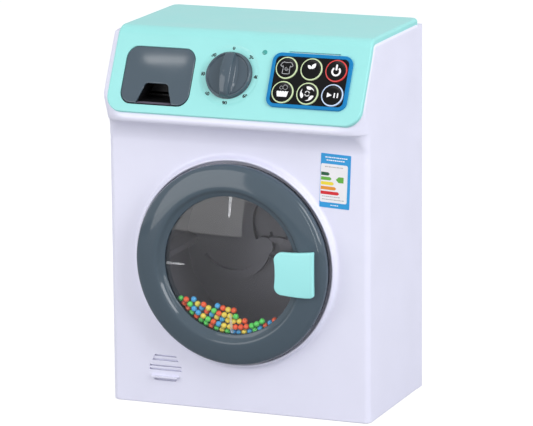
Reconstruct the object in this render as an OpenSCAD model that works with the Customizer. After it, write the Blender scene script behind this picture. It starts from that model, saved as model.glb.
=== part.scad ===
// Toy front-loading washing machine, in millimetres.
// Origin at the middle of the base, +Z up, front towards -Y, left and right as seen from the front.

/* [Case] */
// Width of the case
case_w = 200; // [190:1:215]
// Depth of the case from its front face to its back
case_d = 115; // [112:1:140]
// Height of the white case without the top plate
case_h = 271.7; // [270:0.1:290]
// Wall of the mouldings
wall = 2.4; // [1.8:0.1:2.8]
// Radius of the front upright edges
front_edge_r = 4.5; // [4:0.1:6]
// Radius of the back edges
back_edge_r = 3.5; // [2.5:0.1:5]
// Depth of the rear cover, from the seam to the back
cover_d = 12; // [10:0.5:16]
// How far the latch stands in front of the front face
latch_reach = 21; // [20.6:0.1:23]

/* [Nose] */
// Lean of the control panel from upright
slope_angle = 28; // [26:0.5:30]
// Depth below the top of the case at which the slope is measured
slope_drop = 32.7; // [31.5:0.1:34]
// How far the slope stands in front of the face at that depth
slope_out = 6.1; // [5.5:0.1:7]
// Length of the slope below that height
nose_len = 25; // [24.6:0.1:27]
// Radius of the nose's lower lip
nose_r = 4; // [3.5:0.1:4.5]
// Radius of the cove under the nose
cove_r = 16; // [14:0.5:18]
// Radius of the fold between slope and top
fold_r = 8; // [6:0.5:10]
// Radius of the nose's lower corners
nose_corner_r = 13; // [11:0.5:14]
// Depth of the cove that runs on past those corners
cove_band = 3; // [2:0.5:4]

/* [Control panel] */
// White rim left beside the panel
panel_rim = 3.5; // [3:0.1:5]
// Thickness of the panel on the slope
panel_t = 2; // [1.6:0.1:2.4]
// Height of the top plate over the case
top_plate_h = 4.7; // [4.3:0.1:5.5]
// Length of the panel below the slope's reference height
panel_drop = 23.3; // [22:0.1:24]
// Radius of the panel's lower corners
panel_corner_r = 9; // [7:0.5:11]
// Radius of the top plate's back corners
top_corner_r = 6; // [4:0.5:9]
// Radius of the panel's fold
panel_fold_r = 12; // [10:0.5:14]
// Gap between the panel's back edge and the back of the case
panel_back_gap = 5; // [4:0.5:8]
// Length of the slit over the keypad
slit_w = 38; // [30:1:44]
// Height of that slit
slit_h = 0.7; // [0.5:0.1:1]

/* [Detergent drawer] */
// Distance from the left side of the case to the drawer's middle
drawer_side = 41.8; // [40:0.1:43]
// Height of the drawer's middle over the slope's measuring point
drawer_rise = 5.1; // [4.6:0.1:6]
// Width of the drawer's hole
drawer_w = 53.5; // [50:0.5:55]
// Upright height of the drawer's hole
drawer_h = 38.4; // [36:0.2:39]
// Corner radius of the drawer's hole
drawer_r = 8.5; // [6:0.5:10]
// Gap round the drawer's face
drawer_gap = 0.35; // [0.25:0.05:0.5]
// Thickness of the drawer's face
drawer_face_t = 3; // [2.4:0.1:3.4]
// Width of the tray
tray_w = 44; // [40:0.5:46]
// Height of the tray
tray_h = 24; // [20:0.5:26]
// Length of the tray behind the front face
tray_l = 40; // [34:1:46]
// Wall of the tray and its housing
tray_wall = 1.6; // [1.2:0.1:2]
// Depth of the housing's wide mouth behind the front face
mouth_l = 13; // [12:0.5:15]
// Width of the finger recess at its top
recess_top_w = 18; // [14:0.5:20]
// Width of the finger recess at its bottom
recess_low_w = 28; // [24:0.5:30]
// Height of the finger recess
recess_h = 13.6; // [12:0.2:14.4]

/* [Programme knob] */
// Left-right place of the knob
knob_x = -3.9; // [-5:0.1:-2]
// Place of the knob up the slope
knob_s = 8.5; // [7:0.5:10]
// Radius of the knob
knob_r = 17.3; // [15:0.1:18]
// Thickness of the knob's disc
knob_disc_t = 3; // [2.5:0.1:4]
// Height of the knob's grip over the disc
grip_h = 6; // [4:0.5:8]
// Width of the grip at its middle
grip_w = 8.5; // [7:0.5:10]
// Radius of the shallow dish round the knob
dish_r = 22; // [20:0.5:24]
// Depth of that dish
dish_depth = 0.4; // [0.2:0.1:0.6]
// Radius of the knob's stem
knob_stem_r = 3.5; // [3:0.1:4]
// Radius of the ratchet wheel
ratchet_r = 8; // [7:0.1:9]
// Clicks in one turn
clicks = 8; // [8:4:16]

/* [Keypad] */
// Distance from the right side of the case to the keypad's middle
keypad_side = 42.4; // [41.8:0.1:43]
// Place of the keypad up the slope
keypad_s = 7.4; // [7:0.1:8]
// Width of the keypad's frame
keypad_w = 60.4; // [59.5:0.1:62]
// Height of the keypad's frame
keypad_h = 40.3; // [39.8:0.1:42]
// Corner radius of the frame
keypad_r = 6.5; // [6:0.5:8]
// Width of the frame's border
frame_border = 2.6; // [2.3:0.1:2.8]
// Thickness of the frame
frame_t = 1.8; // [1.6:0.1:2]
// Thickness of the face plate
face_plate_t = 1; // [0.8:0.1:1.2]
// Radius of a button
button_r = 8.2; // [7.8:0.1:8.3]
// Gap round a button
button_gap = 0.25; // [0.2:0.05:0.35]
// Spacing of the button columns
button_dx = 18.7; // [18.4:0.1:19]
// Spacing of the button rows
button_dy = 18; // [17.9:0.1:18.3]
// Travel of a button
button_travel = 1; // [0.6:0.1:1]
// How far a button stands over the face plate
button_proud = 0.6; // [0.4:0.1:1]
// Radius of the indicator light
led_r = 1.75; // [1.5:0.05:2.2]
// Distance of the indicator light left of the keypad's middle
led_dx = 37.6; // [36.6:0.1:39]
// Place of the indicator light up the slope
led_s = 27.2; // [26:0.1:28]

/* [Door] */
// Left-right place of the door
door_x = -1.5; // [-3:0.1:1]
// Depth of the door's middle below the top of the case
door_drop = 160.8; // [158.5:0.1:163]
// Outer radius of the door ring
ring_r = 73.6; // [73:0.1:74.2]
// Width of the door ring, from its edge to the window
ring_band = 23.1; // [22.6:0.1:24]
// Forward reach of the ring's crest
ring_f = 16.5; // [16:0.1:17.2]
// Gap between the ring and the collar round it
collar_gap = 1; // [0.8:0.1:1.4]
// Width of the collar
collar_w = 2; // [1.6:0.1:3]
// Height of the collar over the front face
collar_h = 5; // [4:0.1:5.2]
// Distance from the ring's edge in to the porthole in the case
porthole_inset = 13.6; // [12.6:0.1:14]
// Gap between the case and the door's back plate
door_gap = 3.2; // [3:0.1:3.5]
// Thickness of the door's back plate
back_plate_t = 2; // [1.6:0.1:2.2]
// Thickness of the clear panes
pane_t = 1.2; // [1:0.1:1.4]
// Rise of the window's dome
dome_rise = 4.4; // [3:0.1:5]
// Radius of one bead
bead_r = 2.15; // [1.9:0.05:2.2]
// Number of ribs inside the window
window_ribs = 4; // [3:1:6]

/* [Hinge] */
// Distance from the ring's edge in to the hinge axis
hinge_inset = 7.6; // [7.2:0.1:8.1]
// Distance of the hinge axis in front of the face
hinge_f = 8.9; // [8.7:0.1:9.2]
// Radius of the hinge pin
pin_r = 1.25; // [1:0.05:1.4]
// Radius of the hinge barrel
barrel_r = 2.8; // [2.5:0.1:3]
// Half length of the hinge barrel
barrel_half = 14; // [12:0.5:15]
// Width of a hinge ear
ear_w = 4; // [3.5:0.1:4.5]

/* [Latch] */
// Distance from the ring's edge in to the latch's free side
latch_inset = 36.9; // [35.6:0.1:37.6]
// Width of the latch
latch_w = 31.3; // [30:0.1:32]
// Height of the latch
latch_h = 32.3; // [30:0.1:34]
// Thickness of the latch's plate
latch_t = 3.2; // [2.8:0.1:3.4]
// Corner radius on the latch's free side
latch_r = 6; // [4:0.5:8]
// Distance from the ring's edge in to the latch's pin
latch_pin_inset = 12.6; // [11.6:0.1:13.1]
// Distance of the latch's pin in front of the face
latch_pin_f = 12; // [11.8:0.1:12.4]
// Half height of the latch's arm
arm_half = 7; // [6:0.5:8]
// Thickness of the latch's arm
arm_t = 4.2; // [3.8:0.1:4.6]
// Gap between the latch's nub and the porthole's edge
nub_gap = 0.6; // [0.5:0.05:0.8]
// Angle through which the latch can be pulled
latch_swing = 12; // [8:1:12]

/* [Drum and drive] */
// Outer radius of the drum
drum_r = 64; // [62:0.5:64.5]
// Room between the drum and the case's seam
drive_room = 43; // [42:0.5:48]
// Gap between the front face and the drum
drum_y0 = 7; // [6:0.5:8]
// Gap between the drum and the tub
drum_gap = 2.6; // [2:0.1:3]
// Wall of the drum
drum_wall = 1.8; // [1.4:0.1:2]
// Height of the lifters in the drum
lifter_h = 8; // [6:0.5:9]
// Radius of the drum's shaft
shaft_r = 2.5; // [2:0.1:3]
// Play between a turning shaft and its hole
run_gap = 0.06; // [0.03:0.01:0.1]
// Gear module
gear_m = 0.8; // [0.75:0.01:0.84]
// Teeth of the drum gear
drum_teeth = 49; // [45:1:51]
// Teeth of the large idler wheel
idler_teeth = 35; // [32:1:36]
// Teeth of the pinions
pinion_teeth = 14; // [14:1:15]
// Width of a gear
gear_w = 5; // [4:0.5:5.5]
// Length of the motor
motor_l = 25; // [22:0.5:26]
// Radius of the motor's can
motor_r = 10; // [9:0.5:10.5]

/* [Power and sound] */
// Radius of a battery cell
cell_r = 7.1; // [6.9:0.1:7.2]
// Length of a battery cell
cell_l = 50.4; // [50:0.1:51]
// Number of battery cells
cells = 3; // [2:1:3]
// Height of the battery bay's middle
bay_z = 38; // [37:0.5:44]
// Radius of the speaker
speaker_r = 20; // [16:0.5:22]
// Thickness of the speaker's basket
speaker_t = 5; // [4:0.5:6]
// Distance from the right side of the case to the speaker
speaker_side = 55; // [50:1:60]
// Depth of the speaker below the top of the case
speaker_drop = 59.7; // [57:0.1:66]
// Width of the main board
board_w = 58; // [50:1:60]
// Height of the main board
board_h = 40; // [34:1:44]
// Distance from the left side of the case to the main board's middle
board_side = 55; // [52:1:60]

/* [Fasteners] */
// Radius of a screw's shank
screw_r = 1.3; // [1.2:0.05:1.5]
// Radius of a screw's head
head_r = 2.7; // [2.5:0.1:3]
// Height of a screw's head
head_h = 1.6; // [1.4:0.1:2]

/* [Marks] */
// Width of the sticker
label_w = 22.6; // [20:0.1:24]
// Height of the sticker
label_h = 39.1; // [36:0.1:42]
// Gap between the sticker's lower left corner and the collar
label_gap = 0.3; // [0.2:0.1:1.5]
// Depth of the sticker's middle below the top of the case
label_drop = 96.2; // [94:0.1:97]
// Lean of the sticker
label_lean = 2.5; // [0:0.5:4]
// Width of the widest vent slot
vent_w = 25; // [20:0.5:28]
// Height of a vent slot
vent_h = 4.2; // [3.5:0.1:4.5]
// Spacing of the vent slots
vent_pitch = 7.6; // [7:0.1:8]
// Depth of a vent slot
vent_depth = 1.2; // [0.8:0.1:1.4]
// Distance from the left side of the case to the vent slots' middle
vent_side = 42; // [38:0.5:46]
// Height of the middle vent slot
vent_z = 27.3; // [25:0.1:30]

/* [Hidden] */

$fn = 64;
eps = 0.01;
seat = 0.3;                 // gap left between curved faces that meet
far = 400;                  // longer than the whole toy

slope_z = case_h - slope_drop;
drawer_x = drawer_side - case_w / 2;
drawer_z = slope_z + drawer_rise;
keypad_x = case_w / 2 - keypad_side;
led_x = keypad_x - led_dx;
door_z = case_h - door_drop;
window_r = ring_r - ring_band;
porthole_r = ring_r - porthole_inset;
hinge_dx = ring_r - hinge_inset;
latch_x0 = ring_r - latch_inset;
latch_pin_dx = ring_r - latch_pin_inset;
speaker_x = case_w / 2 - speaker_side;
speaker_z = case_h - speaker_drop;
board_x = board_side - case_w / 2;
vent_x = vent_side - case_w / 2;
label_z = case_h - label_drop;

back_y = (case_d + latch_reach) / 2;
face_y = back_y - case_d;
seam_d = case_d - cover_d;
drum_l = seam_d - drum_y0 - drive_room;
lean_n = 180 - slope_angle; // direction of the slope's normal in the side view
top_z = case_h + top_plate_h;
panel_w = case_w - 2 * panel_rim;
panel_back_d = case_d - panel_back_gap;

// Side view: y behind the front face, z up. A point s up the slope and h in front of it.
function slope_pt(s, h) = [
    -slope_out + s * sin(slope_angle) - h * cos(slope_angle),
    slope_z + s * cos(slope_angle) + h * sin(slope_angle)];
function arc(c, r, a0, a1, n = 12) =
    [for (i = [0:n]) c + r * [cos(a0 + (a1 - a0) * i / n), sin(a0 + (a1 - a0) * i / n)]];
// Middle of a fold of radius r between the slope raised by h and a top at height z
function fold_c(r, h, z) =
    slope_pt((z - r - slope_z - (h - r) * sin(slope_angle)) / cos(slope_angle), h - r);
function slope_s_at(y) = (y + slope_out) / sin(slope_angle);

nose_c = slope_pt(-nose_len, -nose_r);
cove_c = [-cove_r, nose_c[1] - sqrt(pow(cove_r + nose_r, 2) - pow(nose_c[0] + cove_r, 2))];
cove_end = atan2(nose_c[1] - cove_c[1], nose_c[0] - cove_c[0]);
case_fold_c = fold_c(fold_r, 0, case_h);
panel_fold_c = fold_c(panel_fold_r, panel_t, top_z);

module along_x(w) {
    translate([0, face_y, 0]) rotate([90, 0, 90]) linear_extrude(w, center = true) children();
}
// Local x right, y up the slope, z out of the slope
module on_slope(x = 0, s = 0, h = 0) {
    translate([0, face_y - slope_out, slope_z]) rotate([90 - slope_angle, 0, 0])
        translate([x, s, h]) children();
}
// Local x right, y up, z forward from the front face
module on_face(x = 0, z = 0, f = 0) {
    translate([x, face_y - f, z]) rotate([90, 0, 0]) children();
}
module on_door(f = 0) on_face(door_x, door_z, f) children();
// Local x right, y up, z backward from the front face
module from_face(x = 0, z = 0, d = 0) {
    translate([x, face_y + d, z]) rotate([-90, 0, 0]) mirror([0, 1, 0]) children();
}
module plate(w, h, r, t) linear_extrude(t) rounded(w, h, r);
module rounded(w, h, r) {
    square([w - 2 * r, h], center = true);
    square([w, h - 2 * r], center = true);
    for (sx = [-1, 1], sy = [-1, 1]) translate([sx * (w / 2 - r), sy * (h / 2 - r)]) circle(r);
}
module tube(r_out, r_in, h) {
    difference() {
        cylinder(r = r_out, h = h);
        translate([0, 0, -1]) cylinder(r = r_in, h = h + 2);
    }
}
module block(w, h, t) translate([-w / 2, -h / 2, 0]) cube([w, h, t]);
// Cuts a square corner to radius r; the corner lies at the origin, the part towards -x and +y
module corner_cut(r) {
    difference() {
        translate([-r, -far]) square([far, far + r]);
        translate([-r, r]) circle(r);
    }
}
module screw(l) {
    cylinder(r = screw_r, h = l);
    translate([0, 0, -head_h]) difference() {
        cylinder(r = head_r, h = head_h);
        for (a = [0, 90]) rotate(a) translate([-head_r * 0.6, -0.3, -eps])
            cube([head_r * 1.2, 0.6, head_h / 2]);
    }
}

// Case

boss_r = 4;
boss_x = case_w / 2 - 10;
boss_zs = [14, door_z + 30, case_h - 24];
boss_l = 28;
tub_ear_r = 3.5;
tub_ear_at = drum_r + drum_gap + wall + tub_ear_r + 1.5;
tub_ear_l = 8;
panel_post_r = 3;
panel_post_gap = 0.3;
panel_post_x = case_w / 2 - 20;
post_slope = [[knob_x, knob_s + 19.2], [keypad_x - keypad_w / 2 - 7.4, -14]];
post_top = [for (sx = [-1, 1], d = [case_d - 70, case_d - 25]) [sx * panel_post_x, d]];
drawer_open_w = drawer_w + 2 * tray_wall + 1.4;
drawer_open_h = drawer_h + 2 * tray_wall + 1.4;
knob_open_r = ratchet_r + 6;
keypad_open_w = keypad_w - 3;
keypad_open_h = keypad_h - 1;

module case_profile() {
    polygon(concat([[seam_d, 0], [0, 0], slope_pt(slope_s_at(0), 0)],
        arc(case_fold_c, fold_r, lean_n, 90), [[seam_d, case_h]]));
}
module nose_profile() {
    polygon(concat([[front_edge_r, cove_c[1]]], arc(cove_c, cove_r, 0, cove_end),
        arc(nose_c, nose_r, cove_end + 180, lean_n), [slope_pt(slope_s_at(front_edge_r), 0)]));
}
module cavity_profile() {
    polygon(concat([[seam_d + 1, wall], [wall, wall], [wall, slope_pt(slope_s_at(wall), -wall)[1]]],
        arc(case_fold_c, fold_r - wall, lean_n, 90), [[seam_d + 1, case_h - wall]]));
}
module nose_cavity_profile() {
    polygon(concat([[wall + 1, cove_c[1]]], arc(cove_c, cove_r + wall, 0, cove_end),
        arc(nose_c, nose_r - wall, cove_end + 180, lean_n),
        [slope_pt(slope_s_at(wall + 1), -wall)]));
}
module nose_block() {
    difference() {
        along_x(case_w) nose_profile();
        intersection() {
            on_slope(0, -nose_len - nose_r, -far / 2) linear_extrude(far) for (sx = [0, 1])
                mirror([sx, 0]) translate([case_w / 2, 0]) corner_cut(nose_corner_r);
            translate([-far / 2, face_y - cove_band - far, 0]) cube(far);
        }
        for (sx = [0, 1]) mirror([sx, 0, 0]) cove_end_cut();
    }
}
// Carries the rounding of the front upright edges on round the end of the cove
module cove_end_cut() {
    r = front_edge_r;
    translate([case_w / 2, face_y + cove_c[0], cove_c[1]]) rotate([0, -90, 0]) intersection() {
        rotate_extrude() difference() {
            translate([cove_r - r, -1]) square([2 * r, r + 1]);
            translate([cove_r + r, r]) circle(r - 0.06);
        }
        translate([0, 0, -1]) cube(2 * cove_r);
    }
}
collar_foot_r = ring_r + collar_gap + collar_w + 1.6;
module collar_profile() {
    r = ring_r + collar_gap;
    polygon([[r, -eps], [r, collar_h - 0.6], [r + 0.6, collar_h], [r + collar_w - 0.8, collar_h],
        [r + collar_w, collar_h - 0.9], [r + collar_w + 0.4, 1.4], [collar_foot_r, -eps]]);
}
module case_plan() {
    translate([0, back_y - case_d / 2])
        rounded(case_w, case_d, front_edge_r);
}
module front_shell() {
    color("#e3e1f0") difference() {
        union() {
            intersection() {
                along_x(case_w) case_profile();
                linear_extrude(far) case_plan();
            }
            nose_block();
            on_door() rotate_extrude($fn = 128) collar_profile();
        }
        difference() {
            union() {
                along_x(case_w - 2 * wall) cavity_profile();
                along_x(case_w - 2 * (nose_corner_r - 3)) nose_cavity_profile();
            }
            case_bosses();
            tub_bosses();
        }
        on_door(-wall - 1) cylinder(r = porthole_r, h = wall + 2);
        for (x = [-boss_x, boss_x], z = boss_zs) from_face(x, z, seam_d - boss_l + wall)
            cylinder(r = screw_r - 0.2, h = boss_l);
        for (a = [45:90:315]) on_door(-wall - tub_ear_l - 1) rotate(a) translate([tub_ear_at, 0])
            cylinder(r = screw_r - 0.2, h = tub_ear_l);
        on_face(drawer_x, drawer_z, -mouth_l - 20) plate(drawer_open_w, drawer_open_h, 3, far);
        on_slope(knob_x, knob_s, -10) cylinder(r = knob_open_r, h = 20);
        on_slope(keypad_x, keypad_s, -10) plate(keypad_open_w, keypad_open_h, 3, 20);
        on_slope(led_x, led_s, -10) cylinder(r = led_r + 1.6, h = 20);
        for (p = post_slope) on_slope(p[0], p[1], -10)
            cylinder(r = panel_post_r + panel_post_gap, h = 20);
        for (p = post_top) translate([p[0], face_y + p[1], case_h - 10])
            cylinder(r = panel_post_r + panel_post_gap, h = 20);
        vents();
    }
}
module case_bosses() {
    for (sx = [0, 1], z = boss_zs) mirror([sx, 0, 0]) {
        from_face(boss_x, z, seam_d - boss_l) cylinder(r = boss_r, h = boss_l);
        translate([boss_x, face_y + seam_d - boss_l, z - wall / 2])
            cube([case_w / 2 - boss_x, boss_l, wall]);
    }
}
module tub_bosses() {
    for (a = [45:90:315]) on_door(-wall - tub_ear_l) rotate(a) translate([tub_ear_at, 0])
        cylinder(r = tub_ear_r, h = tub_ear_l + 1);
}
module vents() {
    on_face(vent_x, vent_z, -vent_depth) linear_extrude(vent_depth + 1) {
        square([vent_w, vent_h], center = true);
        for (m = [0, 1]) mirror([0, m]) translate([0, vent_pitch]) polygon([
            [-vent_w * 0.42, -vent_h / 2], [vent_w * 0.42, -vent_h / 2],
            [vent_w * 0.34, vent_h / 2], [-vent_w * 0.34, vent_h / 2]]);
    }
}

// Rear cover, with the battery bay in it

bay_w = cell_l + 6.6;
bay_h = cells * (2 * cell_r + 0.8) + 0.8;
bay_d = 2 * cell_r + 1;
door_w = bay_w + 9;
door_h = bay_h + 9;
bay_flange = 3;
grille_r = 1.1;
grille_pitch = 4.5;
board_t = 1.6;
board_post = 6;

module cover_profile() {
    polygon(concat([[seam_d, case_h], [seam_d, 0]],
        arc([case_d - back_edge_r, back_edge_r], back_edge_r, -90, 0),
        arc([case_d - back_edge_r, case_h - back_edge_r], back_edge_r, 0, 90)));
}
module rear_cover() {
    color("#dedceb") difference() {
        union() {
            difference() {
                intersection() {
                    along_x(case_w) cover_profile();
                    linear_extrude(far) translate([0, back_y - case_d / 2])
                        rounded(case_w, case_d, back_edge_r);
                }
                translate([-case_w / 2 + wall, face_y, wall])
                    cube([case_w - 2 * wall, case_d - wall, case_h - 2 * wall]);
            }
            for (x = [-boss_x, boss_x], z = boss_zs) from_face(x, z, seam_d)
                cylinder(r = boss_r, h = cover_d - 1);
            from_face(speaker_x, speaker_z, case_d - wall - speaker_t)
                tube(speaker_r + seat + 1.6, speaker_r + seat, speaker_t + 1);
            for (p = board_posts()) from_face(p[0], p[1], case_d - wall - board_post)
                cylinder(r = 2.6, h = board_post + 1);
        }
        for (x = [-boss_x, boss_x], z = boss_zs) from_face(x, z, seam_d - 1) {
            cylinder(r = screw_r + 0.3, h = cover_d + 2);
            translate([0, 0, 1 + cover_d - 5]) cylinder(r = head_r + 0.4, h = 6);
        }
        from_face(0, bay_z, case_d - wall - 1) block(door_w + 0.6, door_h + 0.6, wall + 2);
        for (p = grille()) from_face(speaker_x + p[0], speaker_z + p[1], case_d - wall - 1)
            cylinder(r = grille_r, h = wall + 2);
        for (p = board_posts()) from_face(p[0], p[1], case_d - wall - board_post - 1)
            cylinder(r = screw_r - 0.2, h = board_post);
    }
}
function grille() = [for (i = [-3:3], j = [-3:3])
    if (norm([i, j]) * grille_pitch < speaker_r - 4) [i, j] * grille_pitch];
function board_posts() = [for (sx = [-1, 1], sz = [-1, 1])
    [board_x + sx * (board_w / 2 - 4), speaker_z + sz * (board_h / 2 - 4)]];

module battery_box() {
    color("#3a3d42") from_face(0, bay_z, case_d - wall - bay_d - tray_wall) difference() {
        union() {
            block(bay_w + 2 * tray_wall, bay_h + 2 * tray_wall, bay_d + tray_wall);
            translate([0, 0, bay_d + tray_wall - 1.6])
                block(door_w + 2 * bay_flange, door_h + 2 * bay_flange, 1.6);
        }
        translate([0, 0, tray_wall]) block(bay_w, bay_h, bay_d + 1);
        translate([0, door_h / 2 - 2.6, 0]) cylinder(r = screw_r - 0.2, h = far);
    }
}
function cell_zs() = [for (i = [0:cells - 1]) (i - (cells - 1) / 2) * (2 * cell_r + 0.8)];
module battery_cells() {
    color("#c9a24a") for (i = [0:cells - 1])
        translate([0, face_y + case_d - wall - cell_r - 0.5, bay_z + cell_zs()[i]])
            rotate([0, i % 2 == 0 ? 90 : -90, 0]) {
                translate([0, 0, -cell_l / 2]) cylinder(r = cell_r, h = cell_l - 1);
                translate([0, 0, cell_l / 2 - 1]) cylinder(r = 2.7, h = 1);
            }
}
module battery_contacts() {
    color("silver") for (sx = [0, 1], i = [0:cells - 1]) mirror([sx, 0, 0])
        translate([bay_w / 2 - 0.4, face_y + case_d - wall - cell_r - 0.5, bay_z + cell_zs()[i]]) {
            translate([0, -5, -5]) cube([0.4, 10, 10]);
            rotate([0, -90, 0]) cylinder(r = 3, h = bay_w / 2 - 0.4 - cell_l / 2 - seat);
        }
}
module battery_door() {
    color("#dedceb") difference() {
        from_face(0, bay_z, case_d - wall) block(door_w, door_h, wall);
        from_face(0, bay_z + door_h / 2 - 2.6, case_d - wall - 1) {
            cylinder(r = screw_r + 0.2, h = far);
            translate([0, 0, 1 + wall - head_h]) cylinder(r = head_r + 0.3, h = far);
        }
        for (i = [-2:2]) from_face(i * 4, bay_z - door_h / 2 + 8, case_d - 0.5) block(1.6, 8, 1);
    }
}
module battery_screw() {
    color("silver") from_face(0, bay_z + door_h / 2 - 2.6, case_d - head_h)
        mirror([0, 0, 1]) screw(wall - head_h + 1.2);
}
module speaker() {
    color("#2b2d31") from_face(speaker_x, speaker_z, case_d - wall - speaker_t - 0.4) {
        cylinder(r = speaker_r, h = speaker_t);
        translate([0, 0, -speaker_t]) cylinder(r = speaker_r * 0.55, h = speaker_t + eps);
    }
}
module main_board() {
    color("#2f7d4f") from_face(board_x, speaker_z, case_d - wall - board_post - board_t)
        difference() {
            union() {
                block(board_w, board_h, board_t);
                translate([0, 4, -3]) block(16, 16, 3 + eps);
                translate([18, -10, -5]) cylinder(r = 3, h = 5 + eps);
            }
            for (p = board_posts()) translate([p[0] - board_x, p[1] - speaker_z, -1])
                cylinder(r = screw_r + 0.2, h = board_t + 2);
        }
}
module board_screws() {
    color("silver") for (p = board_posts())
        from_face(p[0], p[1], case_d - wall - board_post - board_t) screw(board_t + 4);
}
module case_screws() {
    color("silver") for (x = [-boss_x, boss_x], z = boss_zs)
        from_face(x, z, case_d - 5) mirror([0, 0, 1]) screw(cover_d - 5 + 10);
}

// Control panel

panel_lip_r = 1.2;
post_h = 2.2;

module panel_profile() {
    low = slope_pt(-panel_drop + panel_lip_r, panel_t - panel_lip_r);
    polygon(concat([slope_pt(-panel_drop, 0)],
        arc(low, panel_lip_r, 270 - slope_angle, lean_n, 4),
        arc(panel_fold_c, panel_fold_r, lean_n, 90), [[panel_back_d, top_z], [panel_back_d, case_h]],
        arc(case_fold_c, fold_r, 90, lean_n)));
}
module control_panel() {
    pocket_y = case_fold_c[0] + panel_fold_r;
    color("#a4e9e2") difference() {
        union() {
            difference() {
                along_x(panel_w) panel_profile();
                translate([-panel_w / 2 + wall, face_y + pocket_y, case_h - 1])
                    cube([panel_w - 2 * wall, panel_back_d - pocket_y - wall,
                        top_plate_h - wall + 1]);
            }
            for (p = post_slope) on_slope(p[0], p[1], -post_h)
                cylinder(r = panel_post_r, h = post_h + panel_t / 2);
            for (p = post_top) translate([p[0], face_y + p[1], case_h - post_h])
                cylinder(r = panel_post_r, h = post_h + top_plate_h - wall / 2);
            on_slope(knob_x + ratchet_r + 3.6, knob_s, -ratchet_low)
                cylinder(r = 2, h = ratchet_low + panel_t / 2);
            for (p = key_posts()) on_slope(p[0], p[1], -mat_low)
                cylinder(r = 1.9, h = mat_low + panel_t / 2);
        }
        on_slope(0, -panel_drop, -far / 2) linear_extrude(far) for (sx = [0, 1])
            mirror([sx, 0]) translate([panel_w / 2, 0]) corner_cut(panel_corner_r);
        translate([0, face_y + panel_back_d, 0]) linear_extrude(far) for (sx = [0, 1])
            mirror([sx, 0]) translate([panel_w / 2, 0]) mirror([0, 1]) corner_cut(top_corner_r);
        on_face(drawer_x, drawer_z, -mouth_l) plate(drawer_w, drawer_h, drawer_r, far);
        on_slope(knob_x, knob_s, -1) cylinder(r = knob_stem_r + run_gap, h = panel_t + 2);
        on_slope(knob_x, knob_s, panel_t - dish_depth) cylinder(r = dish_r, h = 2);
        on_slope(keypad_x, keypad_s, -1) plate(2 * button_dx + 2 * keypad_hole_r,
            button_dy + 2 * keypad_hole_r, keypad_hole_r, panel_t + 2);
        on_slope(led_x, led_s, -1) cylinder(r = led_r + 0.05, h = panel_t + 2);
        on_slope(keypad_x, keypad_s + keypad_h / 2 + slit_h / 2 + 0.4, panel_t - 1)
            block(slit_w, slit_h, 2);
        for (p = post_slope) on_slope(p[0], p[1], -post_h - 1)
            cylinder(r = screw_r - 0.2, h = post_h + panel_t);
        for (p = post_top) translate([p[0], face_y + p[1], case_h - post_h - 1])
            cylinder(r = screw_r - 0.2, h = post_h + 2);
        for (p = key_posts()) on_slope(p[0], p[1], -mat_low - 1)
            cylinder(r = screw_r - 0.3, h = mat_low);
    }
}
module panel_screws() {
    color("silver") {
        for (p = post_slope) on_slope(p[0], p[1], -wall) panel_screw();
        for (p = post_top) translate([p[0], face_y + p[1], case_h - wall]) panel_screw();
    }
}
module panel_screw() {
    screw(wall + 0.6);
    translate([0, 0, -head_h / 2]) tube(panel_post_r + 2, screw_r - eps, head_h / 2);
}

// Detergent drawer. It slides straight forward, so its hole and edges are cut straight too.

cup_wall = 1.2;
cup_back = mouth_l - 2;
guide_gap = 0.4;

module behind_slope(h) {
    intersection() {
        children();
        on_slope(0, 0, h - far) block(far, far, far);
    }
}
module recess_2d(grow) {
    low = -drawer_h / 2 + drawer_gap + cup_wall - grow;
    polygon([[-recess_low_w / 2 - grow, low], [recess_low_w / 2 + grow, low],
        [recess_top_w / 2 + grow, low + recess_h + 2 * grow],
        [-recess_top_w / 2 - grow, low + recess_h + 2 * grow]]);
}
module detergent_drawer() {
    tray_z = -drawer_h / 2 + 3.2;
    color("#5f6973") difference() {
        union() {
            intersection() {
                on_face(drawer_x, drawer_z, -mouth_l) plate(drawer_w - 2 * drawer_gap,
                    drawer_h - 2 * drawer_gap, drawer_r - drawer_gap, far);
                on_slope(0, 0, panel_t - drawer_face_t) block(far, far, drawer_face_t);
            }
            behind_slope(panel_t - drawer_face_t + eps) difference() {
                on_face(drawer_x, drawer_z + tray_z + tray_h / 2, -tray_l)
                    block(tray_w, tray_h, far);
                behind_slope(panel_t - drawer_face_t)
                    on_face(drawer_x, drawer_z + tray_z + tray_h / 2 + tray_wall,
                        -tray_l + tray_wall) block(tray_w - 2 * tray_wall, tray_h, far);
            }
            behind_slope(panel_t - eps) on_face(drawer_x, drawer_z, -cup_back)
                linear_extrude(far) recess_2d(cup_wall);
        }
        on_face(drawer_x, drawer_z, -cup_back + cup_wall) linear_extrude(far) recess_2d(0);
    }
}
module drawer_housing() {
    guide_z = -drawer_h / 2 + 3.2 + tray_h / 2;
    guide_w = tray_w + 2 * guide_gap;
    guide_h = tray_h + 2 * guide_gap;
    color("#33373c") behind_slope(0) difference() {
        union() {
            on_face(drawer_x, drawer_z, -mouth_l)
                plate(drawer_w + 2 * tray_wall, drawer_h + 2 * tray_wall, 2, far);
            on_face(drawer_x, drawer_z + guide_z, -tray_l - 3)
                block(guide_w + 2 * tray_wall, guide_h + 2 * tray_wall, tray_l + 3 - mouth_l + 1);
        }
        on_face(drawer_x, drawer_z, -mouth_l + tray_wall)
            plate(drawer_w, drawer_h, drawer_r, far);
        on_face(drawer_x, drawer_z + guide_z, -tray_l - 3 + tray_wall)
            block(guide_w, guide_h, far);
    }
}

// Programme knob and its click stop

crown_r = 2 * knob_r;       // the grip falls away towards its ends
ratchet_low = 7;
ratchet_t = 1.6;
ratchet_gap = 0.5;

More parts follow.
